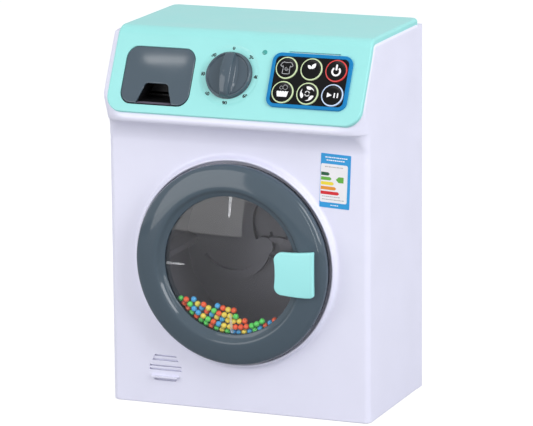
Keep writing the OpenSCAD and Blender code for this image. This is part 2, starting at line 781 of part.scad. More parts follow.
module knob_grip_2d() {
    grip_l = 2 * knob_r - 3;
    r = (pow(grip_l / 2, 2) + pow(grip_w / 2 - 2.2, 2)) / (grip_w - 4.4);
    intersection() {
        translate([r - grip_w / 2, 0]) circle(r, $fn = 128);
        translate([grip_w / 2 - r, 0]) circle(r, $fn = 128);
        square([grip_w, grip_l], center = true);
    }
}
module programme_knob() {
    color("#56626c") on_slope(knob_x, knob_s, panel_t + seat) difference() {
        union() {
            difference() {
                cylinder(r = knob_r, h = knob_disc_t);
                translate([0, 0, knob_disc_t - 1]) cylinder(r = knob_r - 1.4, h = 2);
            }
            intersection() {
                linear_extrude(knob_disc_t + grip_h) knob_grip_2d();
                translate([0, 0, knob_disc_t + grip_h - crown_r]) rotate([0, 90, 0])
                    cylinder(r = crown_r, h = far, center = true, $fn = 256);
            }
            translate([0, 0, -panel_t - seat - ratchet_low + ratchet_gap])
                cylinder(r = knob_stem_r, h = ratchet_low + panel_t);
        }
        translate([0, 0, -panel_t - seat - ratchet_low]) cylinder(r = screw_r - 0.2, h = 6);
    }
}
module knob_ratchet() {
    color("#e8e6ef") on_slope(knob_x, knob_s, -ratchet_low + ratchet_gap - ratchet_t) difference() {
        union() {
            cylinder(r = ratchet_r, h = ratchet_t);
            translate([0, 0, ratchet_t - eps])
                tube(ratchet_r - 2, knob_stem_r - 0.05, 1.6);
        }
        translate([0, 0, -1]) cylinder(r = screw_r, h = ratchet_t + 2);
        for (i = [0:clicks - 1]) rotate(i * 360 / clicks) translate([ratchet_r + 0.6, 0, -1])
            cylinder(r = 1.3, h = ratchet_t + 2);
    }
}
module knob_screw() {
    color("silver") on_slope(knob_x, knob_s, -ratchet_low + ratchet_gap - ratchet_t)
        screw(ratchet_t + 4);
}
module detent_finger() {
    color("silver") on_slope(knob_x + ratchet_r + 3.6, knob_s, -ratchet_low - 1.5) difference() {
        union() {
            cylinder(r = 2, h = 1.5 - eps);
            translate([-2.5, -0.8, 0]) cube([2.5, 1.6, 1.4]);
            translate([-2.5, 0, 0]) cylinder(r = 0.8, h = 1.4);
        }
        translate([0, 0, -1]) cylinder(r = 0.8, h = 4);
    }
}

// Keypad

mat_low = 8.4;
mat_t = 1;
key_board_t = 1.6;
flange_r = button_r + 0.6;
stem_low = 3.5;
keypad_hole_r = flange_r + 0.4;
frame_rebate = 1.2;

function key_posts() = [for (sx = [-1, 1], sy = [-1, 1])
    [keypad_x + sx * (keypad_open_w / 2 - 2.2), keypad_s + sy * (keypad_open_h / 2 - 2.2)]];
function key_at(i) = [keypad_x + (i % 3 - 1) * button_dx,
    keypad_s + (i < 3 ? 1 : -1) * button_dy / 2];

module keypad_frame() {
    color("#1487c9") on_slope(keypad_x, keypad_s, panel_t) difference() {
        plate(keypad_w, keypad_h, keypad_r, frame_t);
        translate([0, 0, -1]) plate(keypad_w - 2 * frame_border, keypad_h - 2 * frame_border,
            keypad_r - frame_border + 1, frame_t + 2);
        translate([0, 0, -1]) plate(keypad_w - 2 * frame_rebate, keypad_h - 2 * frame_rebate,
            keypad_r - frame_rebate, face_plate_t + 1);
    }
}
module keypad_face() {
    inset = frame_rebate + 0.05;
    color("#121317") difference() {
        on_slope(keypad_x, keypad_s, panel_t) plate(keypad_w - 2 * inset, keypad_h - 2 * inset,
            keypad_r - inset, face_plate_t);
        for (i = [0:5]) on_slope(key_at(i)[0], key_at(i)[1], 0)
            cylinder(r = button_r + button_gap, h = panel_t + frame_t + 1);
    }
}
module push_button(i) {
    top = panel_t + face_plate_t + button_proud;
    flange_top = panel_t - seat;
    on_slope(key_at(i)[0], key_at(i)[1], 0) {
        translate([0, 0, flange_top - eps]) cylinder(r = button_r, h = top - flange_top + eps);
        translate([0, 0, flange_top - 1]) cylinder(r = flange_r, h = 1);
        translate([0, 0, -stem_low]) cylinder(r = 3, h = stem_low + flange_top - 1 + eps);
    }
}
module button_1() color("#d9e8cf") push_button(0);
module button_2() color("#d9e8cf") push_button(1);
module button_3() color("#d9474c") push_button(2);
module button_4() color("#d9e8cf") push_button(3);
module button_5() color("#d9e8cf") push_button(4);
module button_6() color("#cfe3f5") push_button(5);
module rubber_mat() {
    dome = mat_low - mat_t - stem_low - button_travel - seat;
    color("#c9ccd2") difference() {
        union() {
            on_slope(keypad_x, keypad_s, -mat_low)
                block(keypad_open_w - 2, keypad_open_h - 2, mat_t);
            for (i = [0:5]) on_slope(key_at(i)[0], key_at(i)[1], -mat_low + mat_t - eps)
                cylinder(r = 3.4, h = dome);
        }
        for (p = key_posts()) on_slope(p[0], p[1], -mat_low - 1) cylinder(r = 2.2, h = mat_t + 2);
    }
}
module keypad_board() {
    color("#2f7d4f") difference() {
        on_slope(keypad_x, keypad_s, -mat_low - key_board_t)
            block(keypad_open_w - 1, keypad_open_h - 1, key_board_t);
        for (p = key_posts()) on_slope(p[0], p[1], -mat_low - key_board_t - 1)
            cylinder(r = screw_r + 0.1, h = far);
    }
}
module keypad_screws() {
    color("silver") for (p = key_posts()) on_slope(p[0], p[1], -mat_low - key_board_t)
        screw(key_board_t + 4);
}
module indicator_lens() {
    color("#3f9c94") on_slope(led_x, led_s, -1.5) {
        cylinder(r = led_r + 0.9, h = 1.5);
        cylinder(r = led_r, h = 1.5 + panel_t + 0.3);
    }
}
// The sticker's lower left corner just clears the collar
label_corner = turn([-label_w / 2, -label_h / 2], -label_lean);
label_x = door_x - label_corner[0]
    + sqrt(pow(collar_foot_r + label_gap, 2) - pow(label_z + label_corner[1] - door_z, 2));
module energy_label() {
    color("#1f9ed8") on_face(label_x, label_z, 0) rotate(-label_lean)
        plate(label_w, label_h, 1, 0.25);
}

// Door. Radii are from its middle, f is forward of the front face.

plate_f = door_gap + back_plate_t;
lip_f = plate_f + 7.2;
ring_wall = 2.4;
barrel_gap = 0.4;
ear_half = barrel_half + barrel_gap;
slot_half = ear_half + ear_w + 0.5;
latch_mid = latch_x0 + latch_w / 2;
nub_x = sqrt(pow(porthole_r - nub_gap, 2) - pow(arm_half, 2));
arm_x = nub_x - arm_t;
arm_play = 0.8;
hinge_trim = 5.5;           // how far the back plate runs on past the hinge axis
chamber_r = window_r;
rib_l = 14;

module ring_profile() {
    polygon([
        [ring_r - 1, plate_f], [ring_r - 0.4, plate_f + 1.6], [ring_r, plate_f + 4],
        [ring_r - 0.6, plate_f + 6.4], [ring_r - 2.2, plate_f + 8.8], [ring_r - 4.6, ring_f - 1],
        [ring_r - 7.6, ring_f - 0.15], [ring_r - 10.4, ring_f], [window_r + 9.5, ring_f - 0.5],
        [window_r + 6.4, ring_f - 1.6], [window_r + 5.4, ring_f - 2.4],
        [window_r + 1, lip_f + 0.3], [window_r, lip_f - 0.2], [window_r, lip_f - 1],
        [window_r + 5.6, lip_f - 1], [window_r + 7, ring_f - 3.6],
        [window_r + 13, ring_f - ring_wall], [ring_r - 5.6, ring_f - ring_wall - 1],
        [ring_r - ring_wall - 1, plate_f + 6], [ring_r - ring_wall - 0.8, plate_f]]);
}
module at_hinge() on_face(door_x - hinge_dx, door_z, hinge_f) rotate([-90, 0, 0]) children();
module ear_slots(r0, f0, f1) {
    for (m = [0, 1]) on_door(f0) mirror([0, m, 0])
        translate([-ring_r - 2, ear_half - 0.5, 0]) cube([ring_r + 2 - r0, ear_w + 1, f1 - f0]);
}
module door_ring() {
    color("#56646e") difference() {
        on_door() rotate_extrude($fn = 128) ring_profile();
        ear_slots(hinge_dx - 1, plate_f - 1, hinge_f + 2.2);
        for (m = [0, 1]) at_hinge() mirror([0, 0, m]) translate([0, 0, ear_half - 0.5])
            cylinder(r = barrel_r + 0.5, h = ear_w + 1);
        on_door(plate_f + 1) translate([arm_x - arm_play, -arm_half - 1.4, 0])
            cube([latch_pin_dx + 3.8 - arm_x + arm_play, 2 * arm_half + 2.8, far]);
    }
}
arm_sweep = (latch_pin_f - door_gap) * sin(latch_swing) + 0.4;
module door_back() {
    color("#3c464f") difference() {
        union() {
            on_door(door_gap) intersection() {
                tube(ring_r - 1, chamber_r, back_plate_t);
                translate([-hinge_dx - hinge_trim, -far / 2, 0]) cube(far);
            }
            on_door(door_gap) tube(chamber_r + 1.6, chamber_r, lip_f - 1 - pane_t - door_gap);
            at_hinge() translate([0, 0, -barrel_half]) cylinder(r = barrel_r, h = 2 * barrel_half);
            on_door(door_gap) translate([-hinge_dx - barrel_r, -barrel_half, 0])
                cube([2 * barrel_r, 2 * barrel_half, hinge_f - door_gap]);
            for (sy = [-1, 1]) on_door(door_gap)
                translate([latch_pin_dx - 2.6, sy * (arm_half + 3.1) - 1.9, 0])
                    cube([5.2, 3.8, latch_pin_f + 1.2 - door_gap]);
            for (a = door_screw_angles) on_door(door_gap) rotate(a) translate([screw_at, 0])
                cylinder(r = 3, h = ring_f - ring_wall - door_gap - 1.6);
        }
        at_hinge() translate([0, 0, -barrel_half - 1])
            cylinder(r = pin_r + run_gap, h = 2 * barrel_half + 2);
        on_face(door_x + latch_pin_dx, door_z - far / 2, latch_pin_f) rotate([-90, 0, 0])
            translate([0, 0, -far / 2]) cylinder(r = pin_r - 0.25, h = far);
        ear_slots(chamber_r + 3, door_gap - 1, plate_f + 1);
        on_door(door_gap - 1) translate([arm_x - arm_sweep, -arm_half - arm_play, 0])
            cube([arm_t + arm_sweep + arm_play, 2 * (arm_half + arm_play), back_plate_t + 2]);
        for (a = door_screw_angles) on_door(door_gap - 1) rotate(a) translate([screw_at, 0])
            cylinder(r = screw_r - 0.2, h = 8);
    }
}
door_screw_angles = [35, 90, 145, 215, 270, 325];
screw_at = ring_r - 9.6;

module door_screws() {
    color("silver") for (a = door_screw_angles) on_door(door_gap) rotate(a) translate([screw_at, 0])
        screw(6);
}
module door_window() {
    dome_r = (pow(window_r - 0.5, 2) + pow(dome_rise, 2)) / (2 * dome_rise);
    flange_f = lip_f - 1 - pane_t;
    color("#b9c6cc", 0.35) difference() {
        union() {
            on_door(flange_f) cylinder(r = window_r + 4.6, h = pane_t);
            intersection() {
                on_door(flange_f + pane_t + dome_rise - dome_r) rotate([90, 0, 0])
                    sphere(dome_r, $fn = 256);
                on_door(flange_f) cylinder(r = window_r - 0.5, h = far);
            }
            for (i = [0:window_ribs - 1]) on_door(flange_f - 1.6)
                rotate(90 + i * 360 / window_ribs)
                    translate([chamber_r - 1 - rib_l, -0.6, 0]) cube([rib_l, 1.2, 1.6 + eps]);
        }
        intersection() {
            on_door(flange_f + dome_rise - dome_r) rotate([90, 0, 0]) sphere(dome_r, $fn = 256);
            on_door(flange_f) cylinder(r = window_r - 1, h = far);
        }
        on_door(flange_f - 1) translate([arm_x - arm_play, -arm_half - arm_play, 0])
            cube([far, 2 * (arm_half + arm_play), pane_t + 2]);
    }
}
module bead_pane() {
    color("#b9c6cc", 0.35) on_door(door_gap - pane_t) cylinder(r = chamber_r + 2, h = pane_t);
}
// Beads lie in rows against the chamber's lower wall, each row a bead's width further in
bead_pitch = 2 * bead_r + 0.1;
bead_rows = [[-57, 36], [-50, 19], [-42, 8], [-28, 2]];
module bead() {
    rotate_extrude($fn = 24) intersection() {
        circle(bead_r);
        translate([0, 0.02 - bead_r]) square([bead_r, 2 * bead_r - 0.04]);
    }
}
module beads() {
    deep = (lip_f - 1 - pane_t - 1.6 - door_gap) / 2;
    color("#f0c63c") for (k = [0:len(bead_rows) - 1]) {
        r = chamber_r - bead_r - 0.1 - k * bead_pitch;
        step = 2 * asin(bead_pitch / 2 / r);
        for (a = [bead_rows[k][0]:step:bead_rows[k][1]])
            translate([door_x + r * sin(a), face_y - door_gap - deep, door_z - r * cos(a)])
                bead();
    }
}
// Gooseneck hinge ears, screwed behind the porthole's edge
module ear_2d() {
    reach = hinge_dx - porthole_r - 0.5;
    translate([0, hinge_f]) circle(barrel_r);
    polygon([[-1.4, hinge_f - 2.4], [1.4, hinge_f + 2.4], [reach + 1.4, 4.6], [reach + 1.4, 0],
        [reach - 1.4, 0], [reach - 1.4, 3.2]]);
}
module hinge_bracket() {
    color("#d5d3e2") difference() {
        for (m = [0, 1]) on_face(door_x - hinge_dx, door_z, 0) mirror([0, m, 0])
            translate([0, ear_half, 0]) rotate([90, 0, 0]) mirror([0, 0, 1])
                linear_extrude(ear_w) ear_2d();
        at_hinge() translate([0, 0, -far / 2]) cylinder(r = pin_r - 0.03, h = far);
    }
}
module hinge_pin() {
    l = 2 * (ear_half + ear_w);
    color("silver") at_hinge() translate([0, 0, -l / 2]) cylinder(r = pin_r, h = l);
}

// Latch. It turns about an upright pin and its arm reaches back into the porthole.

module latch_2d() {
    intersection() {
        rounded(latch_w, latch_h, latch_r);
        translate([-latch_w / 2, -latch_h / 2]) square([latch_w - latch_r, latch_h]);
    }
    translate([latch_w / 2 - latch_r - 1, 0]) rounded(2 * latch_r + 2, latch_h, 1.2);
}
module door_latch() {
    color("#a4e9e2") difference() {
        union() {
            on_door(latch_reach - latch_t) translate([latch_mid, -1, 0])
                linear_extrude(latch_t) latch_2d();
            on_door(-wall - 1.8) translate([arm_x, -arm_half, 0])
                cube([arm_t, 2 * arm_half, latch_reach + wall + 1.8 - eps]);
            on_door(latch_pin_f - 2.6) translate([nub_x - 1, -arm_half, 0])
                cube([latch_pin_dx + 2.6 - nub_x + 1, 2 * arm_half, latch_reach - latch_pin_f + 2.5]);
        }
        on_face(door_x + latch_pin_dx, door_z, latch_pin_f) rotate([-90, 0, 0])
            translate([0, 0, -far / 2]) cylinder(r = pin_r - 0.25 + run_gap, h = far);
    }
}
module latch_pin() {
    l = 2 * (arm_half + 5);
    color("silver") on_face(door_x + latch_pin_dx, door_z, latch_pin_f) rotate([-90, 0, 0])
        translate([0, 0, -l / 2]) cylinder(r = pin_r - 0.25, h = l);
}
module latch_spring() {
    color("silver") on_face(door_x + latch_pin_dx, door_z, latch_pin_f) rotate([-90, 0, 0])
        for (m = [0, 1]) mirror([0, 0, m]) translate([0, 0, arm_half + 0.15])
            tube(pin_r + 0.75, pin_r + 0.05, 0.9);
}

// Tub, drum and drive. Distances d are behind the front face.

tub_r = drum_r + drum_gap;
tub_l = drum_y0 + drum_l + 8;
hub_r = 7;
bush_r = 5;
bush_l = 5;
gear_d = tub_l + 2.2;
idler_d = gear_d + gear_w + 0.6;
plate_d = idler_d + gear_w + 1.2;
plate_t = 2.4;
mesh_slack = 0.12;
drum_pitch_r = gear_m * drum_teeth / 2;
idler_pitch_r = gear_m * idler_teeth / 2;
pinion_pitch_r = gear_m * pinion_teeth / 2;
idler_z = door_z + drum_pitch_r + pinion_pitch_r + mesh_slack;
motor_z = idler_z + idler_pitch_r + pinion_pitch_r + mesh_slack;
axle_r = 1.5;
motor_shaft_r = 1;
box_post_r = 3;
box_low = -8;
box_high = 52;
box_dx_low = 30;
box_dx_high = 22;
box_posts = [[-box_dx_low, box_low], [box_dx_low, box_low], [-box_dx_high, box_high],
    [box_dx_high, box_high]];
box_margin = 6;

module tub() {
    color("#454a50") difference() {
        union() {
            from_face(door_x, door_z, wall + 0.2) cylinder(r = tub_r + wall, h = tub_l - wall - 0.2);
            for (a = [45:90:315]) from_face(door_x, door_z, wall + tub_ear_l) rotate(a) {
                translate([tub_ear_at, 0]) cylinder(r = tub_ear_r, h = wall);
                translate([tub_r, -tub_ear_r]) cube([tub_ear_at - tub_r, 2 * tub_ear_r, wall]);
            }
            for (p = box_posts) from_face(door_x + p[0], door_z + p[1], tub_l - eps)
                cylinder(r = box_post_r, h = plate_d - tub_l + eps);
        }
        from_face(door_x, door_z, 0) cylinder(r = tub_r, h = tub_l - wall);
        from_face(door_x, door_z, 0) cylinder(r = bush_r - 0.02, h = far);
        from_face(door_x, idler_z, tub_l - 1.6) cylinder(r = axle_r, h = far);
        for (a = [45:90:315]) from_face(door_x, door_z, 0) rotate(a) translate([tub_ear_at, 0])
            cylinder(r = screw_r + 0.2, h = far);
        for (p = box_posts) from_face(door_x + p[0], door_z + p[1], tub_l + 3)
            cylinder(r = screw_r - 0.2, h = far);
    }
}
module tub_screws() {
    color("silver") for (a = [45:90:315]) from_face(door_x, door_z, tub_ear_l + 2 * wall) rotate(a)
        translate([tub_ear_at, 0]) mirror([0, 0, 1]) screw(wall + 6);
}
module swirl_2d() {
    intersection() {
        difference() {
            translate([15, 20]) circle(30);
            translate([20, 17]) circle(29);
        }
        circle(drum_r - lifter_h - 8);
    }
}
module drum() {
    r_in = drum_r - drum_wall;
    color("#4b4b50") from_face(door_x, door_z, drum_y0) difference() {
        union() {
            difference() {
                cylinder(r = drum_r, h = drum_l);
                translate([0, 0, -1]) cylinder(r = r_in, h = drum_l - drum_wall + 1);
            }
            tube(drum_r, drum_r - 5, drum_wall);
            intersection() {
                cylinder(r = drum_r - eps, h = drum_l);
                for (a = [60, 180, 300]) rotate(a) translate([r_in - lifter_h, 0, 0])
                    linear_extrude(drum_l) polygon([[0, -2], [0, 2],
                        [lifter_h + 1, 7], [lifter_h + 1, -7]]);
            }
            for (a = [0, 120, 240]) rotate(a) translate([0, 0, drum_l - drum_wall - 4])
                linear_extrude(4 + eps) swirl_2d();
            translate([0, 0, drum_l - drum_wall - 5]) cylinder(r = hub_r, h = drum_wall + 7);
        }
        translate([0, 0, drum_l - drum_wall - 2.5]) cylinder(r = shaft_r - 0.03, h = far);
    }
}
module drum_shaft() {
    d0 = drum_y0 + drum_l - drum_wall - 2.5;
    color("silver") from_face(door_x, door_z, d0) cylinder(r = shaft_r, h = plate_d + plate_t - d0);
}
module drum_bush() {
    color("#c79a4b") from_face(door_x, door_z, tub_l - wall - 1.4)
        tube(bush_r, shaft_r + run_gap, bush_l - 1.6);
}

// Involute spur gear, with its teeth thinned for play
pressure = 25;
thin = 0.16;
function involute(rb, t) = rb * [cos(t * 180 / PI) + t * sin(t * 180 / PI),
    sin(t * 180 / PI) - t * cos(t * 180 / PI)];
function inv_t(rb, r) = sqrt(max(0, pow(r / rb, 2) - 1));
function turn(p, a) = [p[0] * cos(a) - p[1] * sin(a), p[0] * sin(a) + p[1] * cos(a)];
function flank(rb, r0, r1, n = 4) = [for (i = [0:n])
    involute(rb, inv_t(rb, r0 + (r1 - r0) * i / n))];
module gear_2d(teeth) {
    rp = gear_m * teeth / 2;
    rb = rp * cos(pressure);
    ro = rp + gear_m * 0.9;
    rr = rp - gear_m * 1.2;
    at_pitch = involute(rb, inv_t(rb, rp));
    half = 90 / teeth - thin / rp * 180 / PI / 2 + atan2(at_pitch[1], at_pitch[0]);
    side = flank(rb, max(rb, rr), ro);
    polygon([for (k = [0:teeth - 1]) let (a = k * 360 / teeth) each concat(
        [turn([rr, 0], a - 180 / teeth), turn([rr, 0], a - half * 1.1)],
        [for (p = side) turn(p, a - half)],
        [for (i = [len(side) - 1:-1:0]) turn([side[i][0], -side[i][1]], a + half)],
        [turn([rr, 0], a + half * 1.1)])]);
}
// Turns a gear so that a tooth gap faces its neighbour, which has a tooth there
function gap_turn(teeth) = 180 / teeth;

module drum_gear() {
    color("#f2f2f2") from_face(door_x, door_z, gear_d) difference() {
        union() {
            rotate(90) linear_extrude(gear_w) gear_2d(drum_teeth);
            cylinder(r = hub_r, h = gear_w + 0.3);
        }
        translate([0, 0, -1]) cylinder(r = shaft_r - 0.03, h = far);
        for (a = [0:60:300]) rotate(a) translate([drum_pitch_r * 0.62, 0, -1])
            cylinder(r = 3.2, h = far);
    }
}
module idler_gear() {
    color("#f2f2f2") from_face(door_x, idler_z, gear_d) difference() {
        union() {
            rotate(-90 + gap_turn(pinion_teeth)) linear_extrude(idler_d - gear_d + eps)
                gear_2d(pinion_teeth);
            translate([0, 0, idler_d - gear_d]) rotate(90) linear_extrude(gear_w)
                gear_2d(idler_teeth);
        }
        translate([0, 0, -1]) cylinder(r = axle_r + run_gap, h = far);
    }
}
module idler_axle() {
    color("silver") from_face(door_x, idler_z, tub_l - 1.6)
        cylinder(r = axle_r, h = plate_d + plate_t - tub_l + 1.6);
}
module motor_pinion() {
    color("#f2f2f2") from_face(door_x, motor_z, idler_d) difference() {
        rotate(-90 + gap_turn(pinion_teeth)) linear_extrude(gear_w) gear_2d(pinion_teeth);
        translate([0, 0, -1]) cylinder(r = motor_shaft_r + run_gap, h = far);
    }
}
module drive_motor() {
    color("#b8bcc2") from_face(door_x, motor_z, plate_d + plate_t) {
        intersection() {
            cylinder(r = motor_r, h = motor_l);
            translate([0, 0, -1]) block(2 * motor_r + 1, 15.4, motor_l + 2);
        }
        translate([0, 0, -plate_t]) cylinder(r = 3, h = plate_t + eps);
        translate([0, 0, idler_d - plate_d - plate_t])
            cylinder(r = motor_shaft_r, h = plate_d + plate_t - idler_d + eps);
    }
}
module gearbox_plate() {
    color("#d5d3e2") difference() {
        union() {
            from_face(door_x, door_z + (box_low + box_high) / 2, plate_d)
                plate(2 * (box_dx_low + box_margin), box_high - box_low + 2 * box_margin + 2,
                    box_margin, plate_t);
            from_face(door_x, motor_z, plate_d + plate_t - eps) for (sy = [-1, 1])
                translate([0, sy * (15.4 / 2 + 1.1), 0]) block(16, 1.8, 14);
        }
        from_face(door_x, door_z, 0) cylinder(r = shaft_r + run_gap, h = far);
        from_face(door_x, idler_z, 0) cylinder(r = axle_r - 0.02, h = far);
        from_face(door_x, motor_z, 0) cylinder(r = 3.05, h = far);
        for (p = box_posts) from_face(door_x + p[0], door_z + p[1], 0)
            cylinder(r = screw_r + 0.2, h = far);
    }
}
module gearbox_screws() {
    color("silver") for (p = box_posts)
        from_face(door_x + p[0], door_z + p[1], plate_d + plate_t)
            mirror([0, 0, 1]) screw(plate_t + 8);
}

front_shell();
rear_cover();
control_panel();
detergent_drawer();
drawer_housing();
programme_knob();
knob_ratchet();
knob_screw();
detent_finger();
keypad_frame();
keypad_face();
button_1();
button_2();
button_3();
button_4();
button_5();
button_6();
rubber_mat();
keypad_board();
keypad_screws();
indicator_lens();
energy_label();
door_ring();
door_back();
door_window();
bead_pane();
beads();
hinge_bracket();
hinge_pin();
door_latch();
latch_pin();
latch_spring();
tub();
drum();
drum_shaft();
drum_bush();
drum_gear();
idler_gear();
idler_axle();
motor_pinion();
drive_motor();
gearbox_plate();
battery_box();
battery_cells();
battery_contacts();
battery_door();
battery_screw();
speaker();
main_board();
case_screws();
panel_screws();
door_screws();
tub_screws();
gearbox_screws();
board_screws();
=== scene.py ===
import math
import random

import bmesh
import bpy
from mathutils import Matrix, Quaternion, Vector
from mathutils.geometry import delaunay_2d_cdt


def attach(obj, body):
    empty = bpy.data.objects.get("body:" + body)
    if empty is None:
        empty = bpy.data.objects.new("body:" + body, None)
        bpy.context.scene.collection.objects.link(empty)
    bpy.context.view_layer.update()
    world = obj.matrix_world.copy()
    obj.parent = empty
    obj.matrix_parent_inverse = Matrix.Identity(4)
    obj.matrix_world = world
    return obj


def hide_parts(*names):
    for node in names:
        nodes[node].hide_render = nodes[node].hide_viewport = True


# Toy washing machine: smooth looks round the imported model. Sizes are in millimetres, angles in degrees.
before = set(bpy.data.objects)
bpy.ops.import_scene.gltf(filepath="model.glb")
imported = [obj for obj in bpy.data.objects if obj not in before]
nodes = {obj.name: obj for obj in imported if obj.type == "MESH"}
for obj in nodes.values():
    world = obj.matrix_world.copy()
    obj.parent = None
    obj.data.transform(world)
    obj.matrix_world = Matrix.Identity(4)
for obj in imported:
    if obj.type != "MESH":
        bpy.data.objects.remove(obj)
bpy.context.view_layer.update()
mm = 0.001
print("frame loaded:", len(nodes), "nodes")


def sin(a):
    return math.sin(math.radians(a))


def cos(a):
    return math.cos(math.radians(a))


def outward(azimuth, elevation):
    return Vector((sin(azimuth) * cos(elevation), -cos(azimuth) * cos(elevation), sin(elevation)))


def addObject(name, data):
    made = bpy.data.objects.new(name, data)
    bpy.context.scene.collection.objects.link(made)
    return made


# camera, as in the photograph
cameraView = {
    "azimuth": 21.869, "elevation": 12.586, "roll": -0.502,
    "lens": 251.89, "sensor": 36, "distance": 2719.6, "target": (-0.91, 10.43, 134.92),
}


def makeCamera():
    azimuth, roll = cameraView["azimuth"], cameraView["roll"]
    back = outward(azimuth, cameraView["elevation"])
    level = Vector((cos(azimuth), sin(azimuth), 0))
    upright = back.cross(level)
    right = level * cos(roll) + upright * sin(roll)
    up = upright * cos(roll) - level * sin(roll)
    data = bpy.data.cameras.new("photoCamera")
    data.lens, data.sensor_width = cameraView["lens"], cameraView["sensor"]
    data.clip_start, data.clip_end = 0.1, 60
    camera = addObject("photoCamera", data)
    place = (Vector(cameraView["target"]) + back * cameraView["distance"]) * mm
    turn = Matrix((right, up, back)).transposed().to_4x4()
    camera.matrix_world = Matrix.Translation(place) @ turn
    bpy.context.scene.camera = camera


makeCamera()
print("camera set")


# materials: every finish is a small node tree with clouding, grain and a fine bump
def rgb(r, g, b):
    def linear(v):
        v /= 255
        return v / 12.92 if v <= 0.04045 else ((v + 0.055) / 1.055) ** 2.4
    return (linear(r), linear(g), linear(b), 1)


plasticLook = {
    "rough": 0.32, "roughSpread": 0.05, "cloud": 26, "cloudAmount": 0.03,
    "grain": 0.9, "grainDepth": 0.02, "metal": 0, "coat": 0, "ior": 1.46,
}


def setInputs(node, values):
    for name, value in values.items():
        node.inputs[name].default_value = value
    return node


def addNode(tree, kind, values={}):
    return setInputs(tree.nodes.new("ShaderNode" + kind), values)


def wire(tree, *pairs):
    for source, target in pairs:
        tree.links.new(source, target)


def finish(name, tint, **changes):
    look = dict(plasticLook, **changes)
    base, share = rgb(*tint)[:3], look["cloudAmount"]
    material = bpy.data.materials.new(name)
    material.use_nodes = True
    tree = material.node_tree
    shader = setInputs(tree.nodes["Principled BSDF"], {
        "Metallic": look["metal"], "IOR": look["ior"], "Coat Weight": look["coat"], "Coat Roughness": 0.06})
    spot = addNode(tree, "TexCoord").outputs["Object"]
    cloud = addNode(tree, "TexNoise", {"Scale": 1000 / look["cloud"], "Detail": 3})
    mix = addNode(tree, "Mix", {6: [v * (1 - share) for v in base] + [1],
                                7: [min(1, v * (1 + share)) for v in base] + [1]})
    mix.data_type = "RGBA"
    grain = addNode(tree, "TexNoise", {"Scale": 1000 / look["grain"], "Detail": 2})
    patch = addNode(tree, "MapRange", {
        "From Min": 0.3, "From Max": 0.7, "To Min": max(0.01, look["rough"] - look["roughSpread"]),
        "To Max": min(1, look["rough"] + look["roughSpread"])})
    bump = addNode(tree, "Bump", {"Strength": look["grainDepth"], "Distance": 0.0002})
    wire(tree, (spot, cloud.inputs["Vector"]), (spot, grain.inputs["Vector"]),
         (cloud.outputs["Fac"], mix.inputs[0]), (mix.outputs[2], shader.inputs["Base Color"]),
         (cloud.outputs["Fac"], patch.inputs["Value"]),
         (patch.outputs["Result"], shader.inputs["Roughness"]),
         (grain.outputs["Fac"], bump.inputs["Height"]), (bump.outputs["Normal"], shader.inputs["Normal"]))
    return material


def eitherRay(tree, first, second):
    rays, either = addNode(tree, "LightPath"), addNode(tree, "Math")
    either.operation = "MAXIMUM"
    wire(tree, (rays.outputs[first], either.inputs[0]), (rays.outputs[second], either.inputs[1]))
    return either.outputs[0]


def blendShaders(tree, kind, output, *sources):
    # joins shaders in a mix or an add node and shows the result
    node = addNode(tree, kind)
    wire(tree, *zip(sources, node.inputs), (node.outputs[0], tree.nodes[output].inputs["Surface"]))


def clearFinish(name, tint, ior, rough, clear=1):
    # see-through plastic that lets lamp light pass, with faint moulding streaks in its gloss
    material = finish(name, tint, rough=rough, roughSpread=rough / 2, grain=26, grainDepth=0.02, ior=ior,
                      cloud=40, cloudAmount=0.01)
    tree = material.node_tree
    shader = setInputs(tree.nodes["Principled BSDF"], {"Transmission Weight": clear})
    through = addNode(tree, "BsdfTransparent", {"Color": (0.95, 0.95, 0.96, 1)})
    blendShaders(tree, "MixShader", "Material Output", eitherRay(tree, "Is Shadow Ray", "Is Diffuse Ray"),
                 shader.outputs[0], through.outputs[0])
    return material


whitePlastic = finish("whitePlastic", (229, 229, 245), rough=0.4, grainDepth=0.03)
mintPlastic = finish("mintPlastic", (152, 222, 218), rough=0.36)
latchMint = finish("latchMint", (162, 234, 232), rough=0.32)
slatePlastic = finish("slatePlastic", (74, 88, 98), rough=0.085, roughSpread=0.015, grainDepth=0.008)
slateDark = finish("slateDark", (44, 52, 60), rough=0.34)
# painted shade: near-black for the inside of the drawer cup, where shade falls
cupPaintedShade = finish("cupPaintedShade", (14, 13, 16), rough=0.5)
drumPlastic = finish("drumPlastic", (114, 112, 118), rough=0.42, cloud=14, cloudAmount=0.06)
tubPlastic = finish("tubPlastic", (70, 70, 76), rough=0.5)
faceBlack = finish("faceBlack", (5, 5, 6), rough=0.2, roughSpread=0.03, ior=1.3)
bluePaint = finish("bluePaint", (0, 122, 182), rough=0.34, ior=1.3)
ringCream = finish("ringCream", (206, 224, 176), rough=0.35)
ringRed = finish("ringRed", (220, 66, 66), rough=0.35)
ringSky = finish("ringSky", (200, 220, 248), rough=0.35)
inkWhite = finish("inkWhite", (246, 246, 246), rough=0.45)
inkGrey = finish("inkGrey", (168, 170, 172), rough=0.45)
inkDark = finish("inkDark", (10, 22, 26), rough=0.5)
lensTeal = finish("lensTeal", (62, 158, 150), rough=0.15, coat=0.4)
windowClear = clearFinish("windowClear", (248, 249, 250), 1.34, 0.02)
paneClear = clearFinish("paneClear", (246, 247, 248), 1.12, 0.04)
tabClear = clearFinish("tabClear", (250, 250, 250), 1.45, 0.25, 0.85)
# painted light: a lighter mauve grey for the front strip of the cup floor, where light reaches into the cup
cupPaintedLight = finish("cupPaintedLight", (112, 104, 120), rough=0.55)
beadTints = [finish(name, tint, rough=0.3, cloud=3, cloudAmount=0.08) for name, tint in (
    ("beadOrange", (250, 96, 46)), ("beadYellow", (246, 222, 84)),
    ("beadGreen", (96, 226, 100)), ("beadBlue", (72, 174, 232)))]
steelFinish = finish("steelFinish", (196, 198, 202), rough=0.3, metal=1, grain=0.4, grainDepth=0.05)
